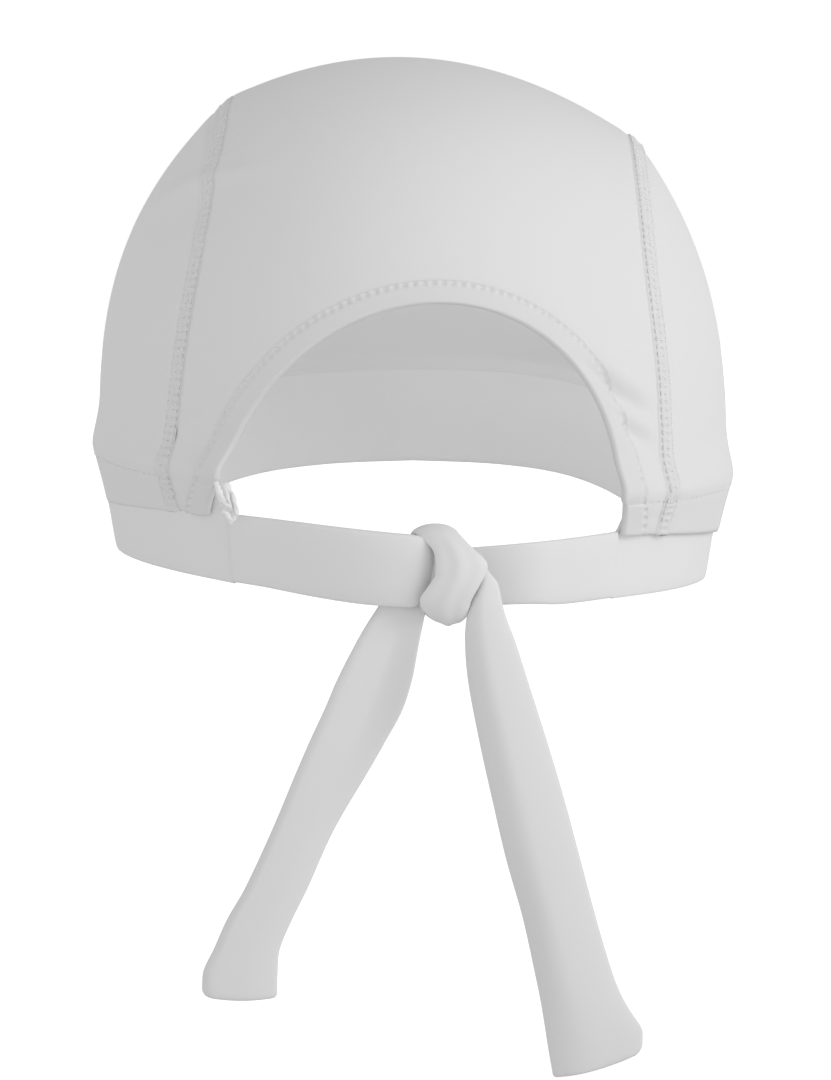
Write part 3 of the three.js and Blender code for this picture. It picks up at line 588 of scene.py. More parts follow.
@dataclass(frozen=True)
class Finish:
    """A finish as a procedural material."""

    name: str
    slot: str
    colour: tuple[float, float, float]
    roughness: float = 0.82
    sheen: float = 0.25
    wale: float = 0.9
    wale_depth: float = 0.25
    grain: float = 0.35
    shade: float = 0.03
    glow: float = 0.45
    glow_depth: float = 2.5
    shine: float = 0.3
    sheen_roughness: float = 0.5
    streak: float = 24.0
    streak_share: float = 0.6
    clouds: float = 28.0
    specks: float = 2600.0
    wale_height: float = 0.15
    grain_height: float = 0.1

    def material(self) -> bpy.types.Material:
        """Builds the material once.

        Returns:
            The material.
        """
        found = bpy.data.materials.get(self.name)
        if found:
            return found
        material = bpy.data.materials.new(self.name)
        material.use_nodes = True
        tree = material.node_tree
        cloth = add_node(tree, "ShaderNodeUVMap", {}, uv_map="cloth").outputs["UV"]
        place = add_node(tree, "ShaderNodeTexCoord", {}).outputs["Object"]
        across = 1 / (self.wale * MM)
        streaks = self.noise(tree, cloth, (across, across / self.streak, 1), 2.0)
        clouds = self.noise(tree, place, (self.clouds,) * 3, 3.0)
        specks = self.noise(tree, place, (self.specks,) * 3, 2.0)
        scaled = add_node(tree, "ShaderNodeMath", {0: clouds, 1: 1 - self.streak_share}, operation="MULTIPLY")
        mixed = add_node(tree, "ShaderNodeMath", {0: streaks, 1: self.streak_share, 2: scaled.outputs["Value"]},
                         operation="MULTIPLY_ADD")
        tones = [tuple(min(c * (1 + change), 1.0) for c in self.colour) for change in (-self.shade, self.shade)]
        tone = add_node(tree, "ShaderNodeMix",
                        {"A": (*tones[0], 1), "B": (*tones[1], 1), "Factor": mixed.outputs["Value"]}, data_type="RGBA")
        low = add_node(tree, "ShaderNodeBump",
                       {"Strength": self.wale_depth, "Distance": self.wale_height * MM, "Height": streaks})
        high = add_node(tree, "ShaderNodeBump",
                        {"Strength": self.grain, "Distance": self.grain_height * MM, "Height": specks,
                         "Normal": low.outputs["Normal"]})
        feed(tree, tree.nodes["Principled BSDF"], {
            "Base Color": tone.outputs["Result"],
            "Normal": high.outputs["Normal"],
            "Roughness": self.roughness,
            "Specular IOR Level": self.shine,
            "Sheen Weight": self.sheen,
            "Sheen Roughness": self.sheen_roughness,
            "Subsurface Weight": self.glow,
            "Subsurface Radius": (self.glow_depth * MM,) * 3,
            "Subsurface Scale": 1.0,
        })
        return material

    def noise(self, tree: bpy.types.NodeTree, source: bpy.types.NodeSocket, scale: tuple[float, ...],
              detail: float) -> bpy.types.NodeSocket:
        """Adds a noise pattern.

        Args:
            tree: The material's nodes.
            source: The coordinates.
            scale: Its scale along each of them.
            detail: Its octaves.

        Returns:
            The pattern's strength.
        """
        mapping = add_node(tree, "ShaderNodeMapping", {"Vector": source, "Scale": scale})
        pattern = {"Vector": mapping.outputs["Vector"], "Scale": 1.0, "Detail": detail}
        return add_node(tree, "ShaderNodeTexNoise", pattern).outputs["Fac"]


CROWN_KNIT = Finish("crown_knit", "crown_knit", (0.85, 0.85, 0.853))
SEAM_KNIT = Finish("seam_knit", "seam_knit", (0.85, 0.85, 0.853), shade=0.05, grain=0.5)
TIE_KNIT = Finish("tie_knit", "tie_knit", (0.86, 0.86, 0.863), wale=1.1)
THREAD = Finish("stitch_thread", "seam_knit", (0.88, 0.88, 0.882), wale=0.4, grain=0.7, shade=0.05)


def finished(mesh: bpy.types.Mesh, name: str, finish: Finish) -> bpy.types.Object:
    """Makes a mesh a piece of the cap.

    Args:
        mesh: The mesh, in place.
        name: The piece's name.
        finish: Its finish.

    Returns:
        The piece.
    """
    mesh.name = name
    mesh.materials.append(finish.material())
    mesh.shade_smooth()
    piece = bpy.data.objects.new(name, mesh)
    bpy.context.collection.objects.link(piece)
    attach(piece, BODY)
    LOG.info("%s: %d faces", name, len(mesh.polygons))
    return piece


def made(shape: bmesh.types.BMesh, name: str) -> bpy.types.Mesh:
    """Turns a finished shape into a mesh.

    Args:
        shape: The shape, which is freed.
        name: The mesh's name.

    Returns:
        The mesh.
    """
    mesh = bpy.data.meshes.new(name)
    shape.to_mesh(mesh)
    shape.free()
    return mesh


def grid(columns: int, rows: int) -> tuple[bmesh.types.BMesh, np.ndarray, np.ndarray]:
    """A flat grid to be shaped.

    Args:
        columns: Segments across.
        rows: Segments along.

    Returns:
        The grid and, for each of its vertices, the share across and along.
    """
    shape = bmesh.new()
    bmesh.ops.create_grid(shape, x_segments=columns, y_segments=rows, size=0.5)
    flat = np.array([vertex.co for vertex in shape.verts])
    low, high = flat.min(axis=0), flat.max(axis=0)
    return shape, (flat[:, 0] - low[0]) / (high[0] - low[0]), (flat[:, 1] - low[1]) / (high[1] - low[1])


def put(shape: bmesh.types.BMesh, points: Points) -> None:
    """Moves a mesh's vertices to points given in millimetres."""
    for vertex, point in zip(shape.verts, points):
        vertex.co = Vector(point * MM)


def map_cloth(shape: bmesh.types.BMesh, u: np.ndarray, v: np.ndarray, size: tuple[float, float]) -> None:
    """Lays the knit on a grid.

    Args:
        shape: The grid, before any vertex is merged or deleted.
        u: Share across for each vertex.
        v: Share along for each vertex.
        size: Real width and length of the cloth, in millimetres.
    """
    layer = shape.loops.layers.uv.new("cloth")
    shape.verts.index_update()
    for face in shape.faces:
        for loop in face.loops:
            k = loop.vert.index
            loop[layer].uv = (u[k] * size[0] * MM, v[k] * size[1] * MM)


@dataclass
class Sheet:
    """A sheet of cloth shaped on the head: a grid laid on the skin, lifted by its relief."""

    name: str
    finish: Finish
    segments: tuple[int, int]
    size: tuple[float, float]
    place: Place
    lift: Callable[[np.ndarray, np.ndarray, Points], np.ndarray]
    drop: Callable[[Points], np.ndarray] | None = None
    easing: int = 3

    def build(self) -> bpy.types.Object:
        """Builds the sheet.

        Returns:
            The piece.
        """
        shape, u, v = grid(fine(self.segments[0]), fine(self.segments[1]))
        map_cloth(shape, u, v, self.size)
        put(shape, FORM.settled(self.place(u, v)))
        inner = [vertex for vertex in shape.verts if not vertex.is_boundary]
        axes = {"use_axis_x": True, "use_axis_y": True, "use_axis_z": True}
        for _ in range(self.easing):
            bmesh.ops.smooth_vert(shape, verts=inner, factor=0.5, **axes)
        bmesh.ops.recalc_face_normals(shape, faces=shape.faces[:])
        shape.normal_update()
        base = np.array([vertex.co for vertex in shape.verts]) / MM
        normal = np.array([vertex.normal for vertex in shape.verts])
        if ((base - HEAD_MIDDLE) * normal).sum() < 0:
            bmesh.ops.reverse_faces(shape, faces=shape.faces[:])
            normal = -normal
        put(shape, base + normal * (self.lift(u, v, base) + FORM.fold_lift(base))[:, None])
        walls = HEM.wall(base)
        if self.drop is not None:
            inside = self.drop(base)
            walls = walls[~inside]
            gone = [vertex for vertex, is_in in zip(shape.verts[:], inside) if is_in]
            bmesh.ops.delete(shape, geom=gone, context="VERTS")
        piece = finished(made(shape, self.name), self.name, self.finish)
        group = piece.vertex_groups.new(name="wall")
        for number, thickness in enumerate(walls):
            group.add([number], float(thickness / walls.max()), "REPLACE")
        wall = piece.modifiers.new("wall", "SOLIDIFY")
        wall.thickness = float(walls.max()) * MM
        wall.vertex_group = group.name
        wall.offset = -1
        return piece


@dataclass
class Roll:
    """A closed strip or tube lofted along a path: place gives its skin once round and once along."""

    name: str
    finish: Finish
    segments: tuple[int, int]
    size: tuple[float, float]
    place: Place
    weld: float = 0.005
    sliver: float = 0.002

    def build(self) -> bpy.types.Object:
        """Builds the roll.

        Returns:
            The piece.
        """
        shape, u, v = grid(fine(self.segments[0]), fine(self.segments[1]))
        map_cloth(shape, u, v, self.size)
        put(shape, self.place(u, v))
        bmesh.ops.remove_doubles(shape, verts=shape.verts[:], dist=self.weld * MM)
        bmesh.ops.dissolve_degenerate(shape, edges=shape.edges[:], dist=self.sliver * MM)
        loose = [edge for edge in shape.edges if edge.is_boundary]
        if loose:
            bmesh.ops.holes_fill(shape, edges=loose, sides=0)
        bmesh.ops.recalc_face_normals(shape, faces=shape.faces[:])
        return finished(made(shape, self.name), self.name, self.finish)


class Track:
    """A path measured along its length, so that stitches and their holes fall together."""

    def __init__(self, path: Callable[[np.ndarray], Points], samples: int = 1600) -> None:
        """Measures the path."""
        self.share = np.linspace(0, 1, samples)
        steps = np.linalg.norm(np.diff(path(self.share), axis=0), axis=1)
        self.run = np.concatenate([[0], np.cumsum(steps)])

    def length(self, share: np.ndarray) -> np.ndarray:
        """The length reached at a share of the path."""
        return np.interp(share, self.share, self.run)

    def at(self, length: np.ndarray) -> np.ndarray:
        """The share of the path at a length."""
        return np.interp(length, self.run, self.share)

    def beat(self, share: np.ndarray, pitch: float) -> np.ndarray:
        """A wave that is 1 at each needle hole and -1 halfway between two."""
        return np.cos(2 * np.pi * self.length(share) / pitch)


@dataclass
class Stitches:
    """A row of stitches: short lengths of thread, each from one path on the cloth to another."""

    name: str
    start: Callable[[np.ndarray], Points]
    end: Callable[[np.ndarray], Points]
    track: Track
    pitch: float
    radius: float
    ahead: float

    def build(self) -> bpy.types.Object:
        """Builds the row.

        Returns:
            The piece.
        """
        count = max(int(self.track.run[-1] / self.pitch) - 1, 1)
        middle = (np.arange(count) + 0.5) * self.pitch
        first = self.start(self.track.at(middle - self.ahead / 2))
        last = self.end(self.track.at(middle + self.ahead / 2))
        shape = bmesh.new()
        shape.loops.layers.uv.new("cloth")
        bmesh.ops.create_uvsphere(shape, u_segments=6, v_segments=6, radius=1.0,
                                  matrix=Matrix.Rotation(math.pi / 2, 4, "Y"))
        mesh = made(shape, self.name)
        shape = bmesh.new()
        shape.from_mesh(mesh)
        one = np.array([(*vertex.co, 1.0) for vertex in shape.verts])
        faces = len(shape.faces)
        while len(shape.faces) < count * faces:
            bmesh.ops.duplicate(shape, geom=shape.verts[:] + shape.edges[:] + shape.faces[:])
        bmesh.ops.delete(shape, geom=shape.verts[count * len(one):], context="VERTS")
        points = []
        for here, there in zip(first, last):
            way = Vector(there - here)
            turn = way.to_track_quat("X", "Z").to_matrix().to_4x4()
            size = Matrix.Diagonal((way.length / 2, self.radius, self.radius, 1))
            points.append(one @ np.array(Matrix.Translation(Vector(here + there) / 2) @ turn @ size).T)
        put(shape, np.concatenate(points)[:, :3])
        shape.to_mesh(mesh)
        shape.free()
        return finished(mesh, self.name, THREAD)


class Lattice:
    """A skin worked out once on a lattice and then read between its points, with its outward way."""

    def __init__(self, skin: Place, first: Steps, second: Steps) -> None:
        """Works the lattice out.

        Args:
            skin: The skin.
            first: Start, end and count of the first parameter.
            second: Start, end and count of the second parameter.
        """
        self.ranges = (first, second)
        u, v = np.meshgrid(np.linspace(*first), np.linspace(*second), indexing="ij")
        points = skin(u.ravel(), v.ravel()).reshape(*u.shape, 3)
        normal = unit(np.cross(np.gradient(points, axis=0), np.gradient(points, axis=1)))
        self.values = np.concatenate([points, facing(normal, points - HEAD_MIDDLE)], axis=-1)

    def read(self, u: np.ndarray, v: np.ndarray) -> tuple[Points, Points]:
        """Reads the skin.

        Args:
            u: First parameter.
            v: Second parameter.

        Returns:
            The points and their outward ways.
        """
        low, share = [], []
        for at, (start, end, count) in zip((u, v), self.ranges):
            place = (np.asarray(at, float) - start) / (end - start) * (count - 1)
            place = np.clip(place, 0, count - 1 - 1e-9)
            low.append(place.astype(int))
            share.append((place - low[-1])[..., None])
        (i, j), (a, b) = low, share
        value = lerp(lerp(self.values[i, j], self.values[i + 1, j], a),
                     lerp(self.values[i, j + 1], self.values[i + 1, j + 1], a), b)
        return value[..., :3], unit(value[..., 3:])

    def raised(self, u: np.ndarray, v: np.ndarray, height: np.ndarray, folds: float | np.ndarray) -> Points:
        """Points over the skin, with the hem's flare and the folds.

        Args:
            u: First parameter.
            v: Second parameter.
            height: Height over the cloth's inner face.
            folds: Share of the folds' lift.

        Returns:
            The points.
        """
        skin, normal = self.read(u, v)
        over = height + HEM.lift(FORM.level(skin)) + FORM.fold_lift(skin) * folds
        return skin + normal * over[:, None]


@dataclass(frozen=True)
class Hem:
    """The body's turned lower edge, with its row of stitches."""

    stitch_level: float = 0.93
    groove: float = 0.05
    groove_width: float = 0.05
    roll: float = 0.06
    roll_depth: float = 0.35
    lap: float = 0.6
    fill: float = 0.12
    fill_forward: float = 30.0
    thinner: float = 0.1
    starts: float = 1.9
    spread: float = 1.2

    def lift(self, level: np.ndarray) -> np.ndarray:
        """How far the cloth's inner face stands off the head.

        Args:
            level: The hem's level.

        Returns:
            The distance.
        """
        over = FORM.hem_lift * smooth((self.starts - level) / self.spread)
        groove = -self.groove * bump(level - self.stitch_level, self.groove_width)
        turned = np.clip((self.roll - level) / self.roll, 0, 1)
        return over + groove - self.roll_depth * (1 - np.sqrt(1 - turned**2 * 0.98))

    def wall(self, points: Points) -> np.ndarray:
        """Thickness of the cloth, which is filled out inside the front down to the headband's top.

        Args:
            points: The places.

        Returns:
            The thickness.
        """
        level = FORM.level(points)
        filled = smooth((level - self.lap) / self.fill) * smooth(points[..., 1] / self.fill_forward)
        return FORM.cloth - self.thinner + filled * np.maximum(self.lift(level), 0)


HEM = Hem()


@dataclass(frozen=True)
class Pitch:
    """Spacing of the stitches, in millimetres."""

    seam: float = 1.85
    arch: float = 2.3
    hem: float = 2.6


PITCH = Pitch()


@dataclass
class CrownPanel:
    """The crown's middle panel, from the front hem over the top to the back hem."""

    groove: float = 0.2
    left_groove: float = 0.1
    groove_width: float = 1.1
    half_across: float = 54.0
    arch_groove: float = 0.22
    arch_tuck: float = 0.5
    cut: float = 3.4

    def build(self) -> bpy.types.Object:
        """Builds the panel.

        Returns:
            The panel.
        """
        def place(u: np.ndarray, v: np.ndarray) -> Points:
            """The panel's skin before it settles."""
            return FORM.crown(np.interp(v, SEAM_SHARES, SEAM_RUNS), 2 * u - 1)

        def lift(u: np.ndarray, v: np.ndarray, points: Points) -> np.ndarray:
            """Its outer face over the head, sunk beside the seams and under the arch's hem."""
            beside = (1 - np.abs(2 * u - 1)) * self.half_across
            seam = -self.groove * lerp(self.left_groove, 1.0, u) * bump(beside, self.groove_width)
            away = FORM.arch_distance(points)
            arch = -self.arch_groove * bump(away - FORM.arch_hem_width - 0.2, 0.9)
            arch -= self.arch_tuck * smooth(FORM.arch_hem_width - 0.3 - away) * (away > -50)
            return FORM.cloth + HEM.lift(FORM.level(points)) + seam + puckered(beside - 2, v, 3.0) + arch

        def inside(points: Points) -> np.ndarray:
            """Whether the points lie in the arched opening."""
            return FORM.arch_distance(points) < self.cut

        piece = Sheet("crown_panel", CROWN_KNIT, (112, 290), (112.0, 330.0), place, lift, drop=inside).build()
        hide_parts("crown_centre_panel")
        return piece


@dataclass
class SidePanel:
    """A side panel over an ear."""

    side: Side
    start: float = 4.3
    fall: float = 90.0
    hem_share: float = 0.14
    tuck: float = 0.45
    tuck_width: float = 1.3

    def build(self) -> bpy.types.Object:
        """Builds the panel.

        Returns:
            The panel.
        """
        def place(u: np.ndarray, v: np.ndarray) -> Points:
            """The panel's skin before it settles."""
            fall = np.interp(u, [0.0, 1 - self.hem_share, 1.0], [0.0, 1.0, 2.0])
            return FORM.side(v, fall, self.side, self.start)

        def lift(u: np.ndarray, v: np.ndarray, points: Points) -> np.ndarray:
            """Its outer face over the head, tucked under the seam's lap."""
            below = u * self.fall
            tuck = -self.tuck * bump(below, self.tuck_width)
            return FORM.cloth + HEM.lift(FORM.level(points)) + puckered(below, v, 4.0) + tuck

        name = self.side.name.lower()
        piece = Sheet(f"side_{name}", CROWN_KNIT, (96, 180), (100.0, 190.0), place, lift).build()
        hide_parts(f"side_panel_{name}")
        return piece


@dataclass(frozen=True)
class Dent:
    """A line of needle dents along a seam: its depth changes between the stitches."""

    place: float
    width: float
    depth: float
    swing: float

    def sink(self, distance: np.ndarray, beat: np.ndarray) -> np.ndarray:
        """The dent's depth at a distance from the seam, with beat 1 at a needle hole."""
        return (self.depth + self.swing * beat) * bump(distance - self.place, self.width)


@dataclass(frozen=True)
class SeamRow:
    """A row of seam stitches: where each begins and ends beside the seam, and how far it is sunk."""

    name: str
    place: tuple[float, float]
    sunk: tuple[float, float]
    radius: float
    ahead: float


@dataclass
class SeamLap:
    """The raised lap of a side seam, with its rows of stitches."""

    side: Side
    proud: float
    folds: float
    start: float = -0.45
    width: float = 5.4
    length: float = 322.0
    inner_slope: float = 1.1
    outer_slope: float = 1.5
    under: float = 0.25
    sunk: float = 0.32
    sunk_width: float = 1.05
    dent_share: float = 2.4
    holes: float = 2.15
    dents: tuple[Dent, ...] = (Dent(2.15, 0.5, 0.26, 0.2), Dent(3.6, 0.4, 0.16, 0.08), Dent(0.6, 0.7, 0.0, 0.1))
    rows: tuple[SeamRow, ...] = (
        SeamRow("rungs", (0.75, 3.1), (0.14, 0.16), 0.28, 0.4),
        SeamRow("edge", (0.5, 0.5), (0.28, 0.28), 0.3, 1.3),
        SeamRow("outer", (4.2, 4.2), (0.22, 0.22), 0.3, 1.5),
    )

    def skin(self, share: np.ndarray, distance: np.ndarray) -> Points:
        """The settled skin beside the seam."""
        return FORM.settled(FORM.seam(np.interp(share, SEAM_SHARES, SEAM_RUNS), distance, self.side))

    def profile(self, distance: np.ndarray, beat: np.ndarray) -> np.ndarray:
        """Height of the lap over the panels' outer face.

        Args:
            distance: Distance outward from the seam.
            beat: 1 at a needle hole, -1 halfway between two.

        Returns:
            The height.
        """
        inner, outer = smooth(distance / self.inner_slope), smooth((self.width - distance) / self.outer_slope)
        dents = sum(dent.sink(distance, beat) for dent in self.dents)
        sunk = self.sunk * (1 - smooth((distance - self.start) / self.sunk_width))
        return self.proud * (inner * outer - self.dent_share * dents * inner) - sunk

    def build(self) -> bpy.types.Object:
        """Builds the lap and its stitches.

        Returns:
            The lap.
        """
        lattice = Lattice(self.skin, (0.0, 1.0, 401), (-0.6, 6.0, 12))
        track = Track(lambda share: lattice.read(share, self.holes + 0 * share)[0])

        def place(u: np.ndarray, v: np.ndarray) -> Points:
            """The lap's skin, once round its section and along the seam."""
            turn = 2 * np.pi * u
            distance = lerp(self.start, self.width, (1 - np.cos(turn)) / 2)
            top = FORM.cloth + self.profile(distance, track.beat(v, PITCH.seam))
            return lattice.raised(v, distance, np.where(turn < np.pi, top, self.under), self.folds)

        def thread(distance: float, sunk: float) -> Callable[[np.ndarray], Points]:
            """The line along which a row's stitches begin or end."""
            height = FORM.cloth + self.proud - sunk
            return lambda share: lattice.raised(share, distance + 0 * share, height + 0 * share, self.folds)

        name = self.side.name.lower()
        piece = Roll(f"seam_{name}", SEAM_KNIT, (40, 760), (12.0, self.length), place).build()
        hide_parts(f"side_seam_{name}")
        for row in self.rows:
            first, last = (thread(*ends) for ends in zip(row.place, row.sunk))
            Stitches(f"{row.name}_{name}", first, last, track, PITCH.seam, row.radius, row.ahead).build()
        return piece


@dataclass
class ArchHem:
    """The turned edge of the arched opening, with its row of stitches."""

    proud: float = 0.3
    edge: float = 0.6
    inner: float = -0.5
    past_row: float = 0.6
    row_sunk: float = 0.16
    dent: Dent = Dent(FORM.arch_hem_width - 0.05, 0.6, 0.36, 0.26)

    def skin(self, share: np.ndarray, grow: np.ndarray) -> Points:
        """The settled skin round the arch."""
        return FORM.back(FORM.arch_line(share, grow))

    def build(self) -> bpy.types.Object:
        """Builds the hem and its stitches.

        Returns:
            The hem.
        """
        width = FORM.arch_hem_width + self.past_row
        lattice = Lattice(self.skin, (0.0, 1.0, 241), (0.0, width, 9))

        def raised(share: np.ndarray, grow: np.ndarray, height: np.ndarray) -> Points:
            """Points over the skin, with folds that fade towards the arch's edge."""
            return lattice.raised(share, grow, height, smooth(grow / width))

        def row(share: np.ndarray) -> Points:
            """The line of the stitches."""
            return raised(share, self.dent.place + 0 * share, FORM.cloth - self.row_sunk + 0 * share)

        track = Track(row)

        def place(u: np.ndarray, v: np.ndarray) -> Points:
            """The hem's skin, once round its section and along the arch."""
            turn = 2 * np.pi * u
            grow = width * (1 - np.cos(turn)) / 2
            rounded = np.sqrt(1 - (1 - np.clip(grow / self.edge, 0, 1)) ** 2)
            middle = (FORM.cloth + self.inner) / 2
            top = middle + (FORM.cloth + self.proud - middle) * rounded
            top -= self.dent.sink(grow, track.beat(v, PITCH.arch))
            low = middle + (self.inner - middle) * rounded
            return raised(v, grow, np.where(turn < np.pi, top, low))

        piece = Roll("arch_edge", SEAM_KNIT, (48, 420), (11.0, 150.0), place).build()
        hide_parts("arch_hem")
        Stitches("arch_stitches", row, row, track, PITCH.arch, radius=0.18, ahead=1.0).build()
        return piece


@dataclass
class FrayedEnd:
    """The end of the arch's overlock thread, which curls out of its left foot."""

    strands: tuple[tuple[float, tuple[tuple[float, float, float], ...]], ...] = (
        (0.62, ((-46.6, -84.6, -101.4), (-46.1, -85.6, -103.2), (-45.3, -86.0, -105.0), (-44.3, -85.6, -107.6))),
        (0.6, ((-43.6, -83.0, -103.4), (-42.6, -84.4, -105.2), (-42.0, -84.9, -107.2), (-41.5, -84.6, -109.8))),
        (0.5, ((-45.2, -85.6, -108.2), (-44.0, -86.2, -109.2), (-43.2, -85.8, -110.4), (-42.8, -84.8, -111.6))),
        (0.42, ((-45.8, -85.2, -107.2), (-44.6, -86.4, -106.7), (-43.4, -86.2, -107.3), (-43.0, -85.2, -108.4))),
        (0.45, ((-44.6, -84.4, -102.8), (-43.9, -85.4, -104.6), (-43.5, -85.6, -106.2), (-42.9, -85.2, -108.6))),
        (1.35, ((-44.6, -82.4, -101.8), (-43.7, -83.2, -104.8), (-43.1, -83.4, -107.6), (-42.7, -83.2, -111.2))),
    )
    ply: float = 0.16

    def build(self) -> None:
        """Builds each strand as a twisted thread."""
        for number, (radius, route) in enumerate(self.strands):
            table = Table("at x y z", *[(k / (len(route) - 1), *point) for k, point in enumerate(route)])

            def path(v: np.ndarray, table: Table = table) -> Points:
                row = table.read(v)
                return np.stack([row["x"], row["y"], row["z"]], axis=-1)

            def skin(u: np.ndarray, v: np.ndarray, radius: float = radius) -> Points:
                way = path(v + 0.01) - path(v - 0.01)
                way /= np.linalg.norm(way, axis=-1, keepdims=True)
                across = np.cross(way, [0.0, 1.0, 0.2])
                across /= np.linalg.norm(across, axis=-1, keepdims=True)
                turn = 2 * np.pi * u
                twist = 1 + self.ply * np.cos(2 * turn + 16 * v)
                size = radius * twist * np.sqrt(np.clip(1 - (2 * v - 1) ** 8, 0, 1))
                ring = np.cos(turn)[:, None] * across + np.sin(turn)[:, None] * np.cross(way, across)
                return path(v) + ring * size[:, None]

            Roll(f"frayed_thread_{number}", THREAD, (14, 40), (3.0, 9.0), skin).build()


LEFT_STRAP = Table(
    "at sink height proud thick",
    (0, 0.0, 0.96, 0.0, 3.0),
    (0.2, 0.0, 0.98, 0.05, 3.3),
    (0.45, 0.0, 1.02, 0.2, 4.2),
    (0.7, 0.0, 1.04, 0.33, 5.2),
    (0.88, 0.0, 1.02, 0.37, 5.8),
    (1, 0.0, 1.0, 0.34, 5.6),
)

RIGHT_STRAP = Table(
    "at sink height proud thick",
    (0, 0.0, 0.94, 0.0, 3.0),
    (0.4, 0.1, 0.92, 0.0, 3.0),
    (0.6, 0.14, 0.87, 0.02, 3.0),
    (0.8, 0.18, 0.84, -0.08, 3.0),
    (1, 0.22, 0.82, -0.25, 3.0),
)


@dataclass
class Headband:
    """The folded strip round the lower edge, with both straps."""

    left_end: float = 5.6
    right_end: float = 12.0
    knot_depth: float = 17.0
    end_length: float = 3.9
    end_middle: float = 0.69
    below_hem: float = 1.35

    def build(self) -> bpy.types.Object:
        """Builds the headband."""
        left_corner = float(FORM.angle_at(FORM.arch_shift - FORM.arch_width / 2 + 4, 0.0))
        right_corner = float(FORM.angle_at(FORM.arch_shift + FORM.arch_width / 2, 0.0))
        left_end, right_end = float(FORM.angle_at(self.left_end, 0.0)), float(FORM.angle_at(self.right_end, 0.0))
        tuck = FORM.hem_lap / FORM.hem_height
        stations = np.array([left_end, left_corner, left_corner - 2.5, right_corner + 2.5 - 360, right_corner - 360,
                             right_end - 360])
        shares = np.array([0.0, 0.13, 0.14, 0.9, 0.91, 1.0])

        def place(u: np.ndarray, v: np.ndarray) -> Points:
            turn = 2 * np.pi * (u + 0.25)
            angle = np.interp(v, shares, stations)
            left = np.clip((angle - left_corner) / (left_end - left_corner), 0, 1)
            right = np.clip((right_corner - 360 - angle) / (right_corner - right_end), 0, 1)
            on_left, on_right = angle > left_corner, angle < right_corner - 360
            rows = {k: np.where(on_left, a, b) for (k, a), b in
                    zip(LEFT_STRAP.read(left).items(), RIGHT_STRAP.read(right).values())}
            strap = on_left | on_right
            within = np.minimum(left_corner - angle, angle - right_corner + 360)
            tucked = tuck * smooth(within / 2.5)
            high = (1 + np.sin(turn)) / 2
            end = np.clip((angle - left_end + self.end_length) / self.end_length, 0, 1) * on_left
            close = np.sqrt(np.clip(1 - end**2, 0, 1))
            high_end = self.end_middle + (high - self.end_middle) * close
            level = np.where(strap, 0, lerp(-1.0, np.maximum(tucked, 0), high))
            skin = FORM.ring(angle, level)
            top = FORM.ring(angle, 0 * angle)
            drop = (rows["sink"] + (1 - high_end) * rows["height"]) * FORM.band_height
            on_strap = FORM.ring(angle, np.clip(-drop / FORM.band_height, -1, 0))
            on_strap[:, 2] = top[:, 2] - drop
            on_strap[:, 1] -= rows["proud"] * self.knot_depth
            skin = FORM.settled(np.where(strap[:, None], on_strap, skin))
            flat = FORM.ring(angle + 0.5, level) - FORM.ring(angle - 0.5, level)
            normal = np.stack([flat[:, 1], -flat[:, 0], 0 * angle], axis=-1)
            normal /= np.linalg.norm(normal, axis=-1, keepdims=True)
            normal *= np.where((normal * skin).sum(-1) < 0, -1.0, 1.0)[:, None]
            puff = self.below_hem * lerp(1.0, 0.25, smooth((FORM.ring(angle, 0 * angle)[:, 0] - 20) / 40))
            shown = FORM.band_thickness + puff * smooth((0.06 - level) / 0.08) * smooth(within / 14.0)
            shown *= 1 - 0.9 * smooth(within / 2.5) * smooth((high - 0.84) / 0.16)
            thick = np.where(strap, rows["thick"], shown)
            round_off = np.sqrt(np.clip(1 - end**3, 0.0, 1))
            face = np.sign(np.cos(turn)) * np.abs(np.cos(turn)) ** 0.45
            height = thick * (1 + face * round_off) / 2
            return skin + normal * height[:, None]

        piece = Roll("headband_strip", TIE_KNIT, (64, 520), (40.0, 560.0), place).build()
        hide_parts("headband")
        return piece


WRAP = Table(
    "at left right",
    (0, 5.2, 16.8),
    (13, 5.3, 17.5),
    (25, 5.2, 16.6),
    (38, 4.6, 14.4),
    (54, 3.0, 12.4),
    (72, 1.2, 11.0),
    (90, 0.0, 10.6),
    (120, -0.6, 10.8),
    (180, 0.5, 14.0),
    (240, 2.0, 13.5),
    (275, 4.6, 12.4),
    (297, 3.0, 12.9),
    (314, 1.8, 13.4),
    (328, 1.8, 14.0),
    (344, 3.4, 15.4),
    (360, 5.2, 16.8),
)


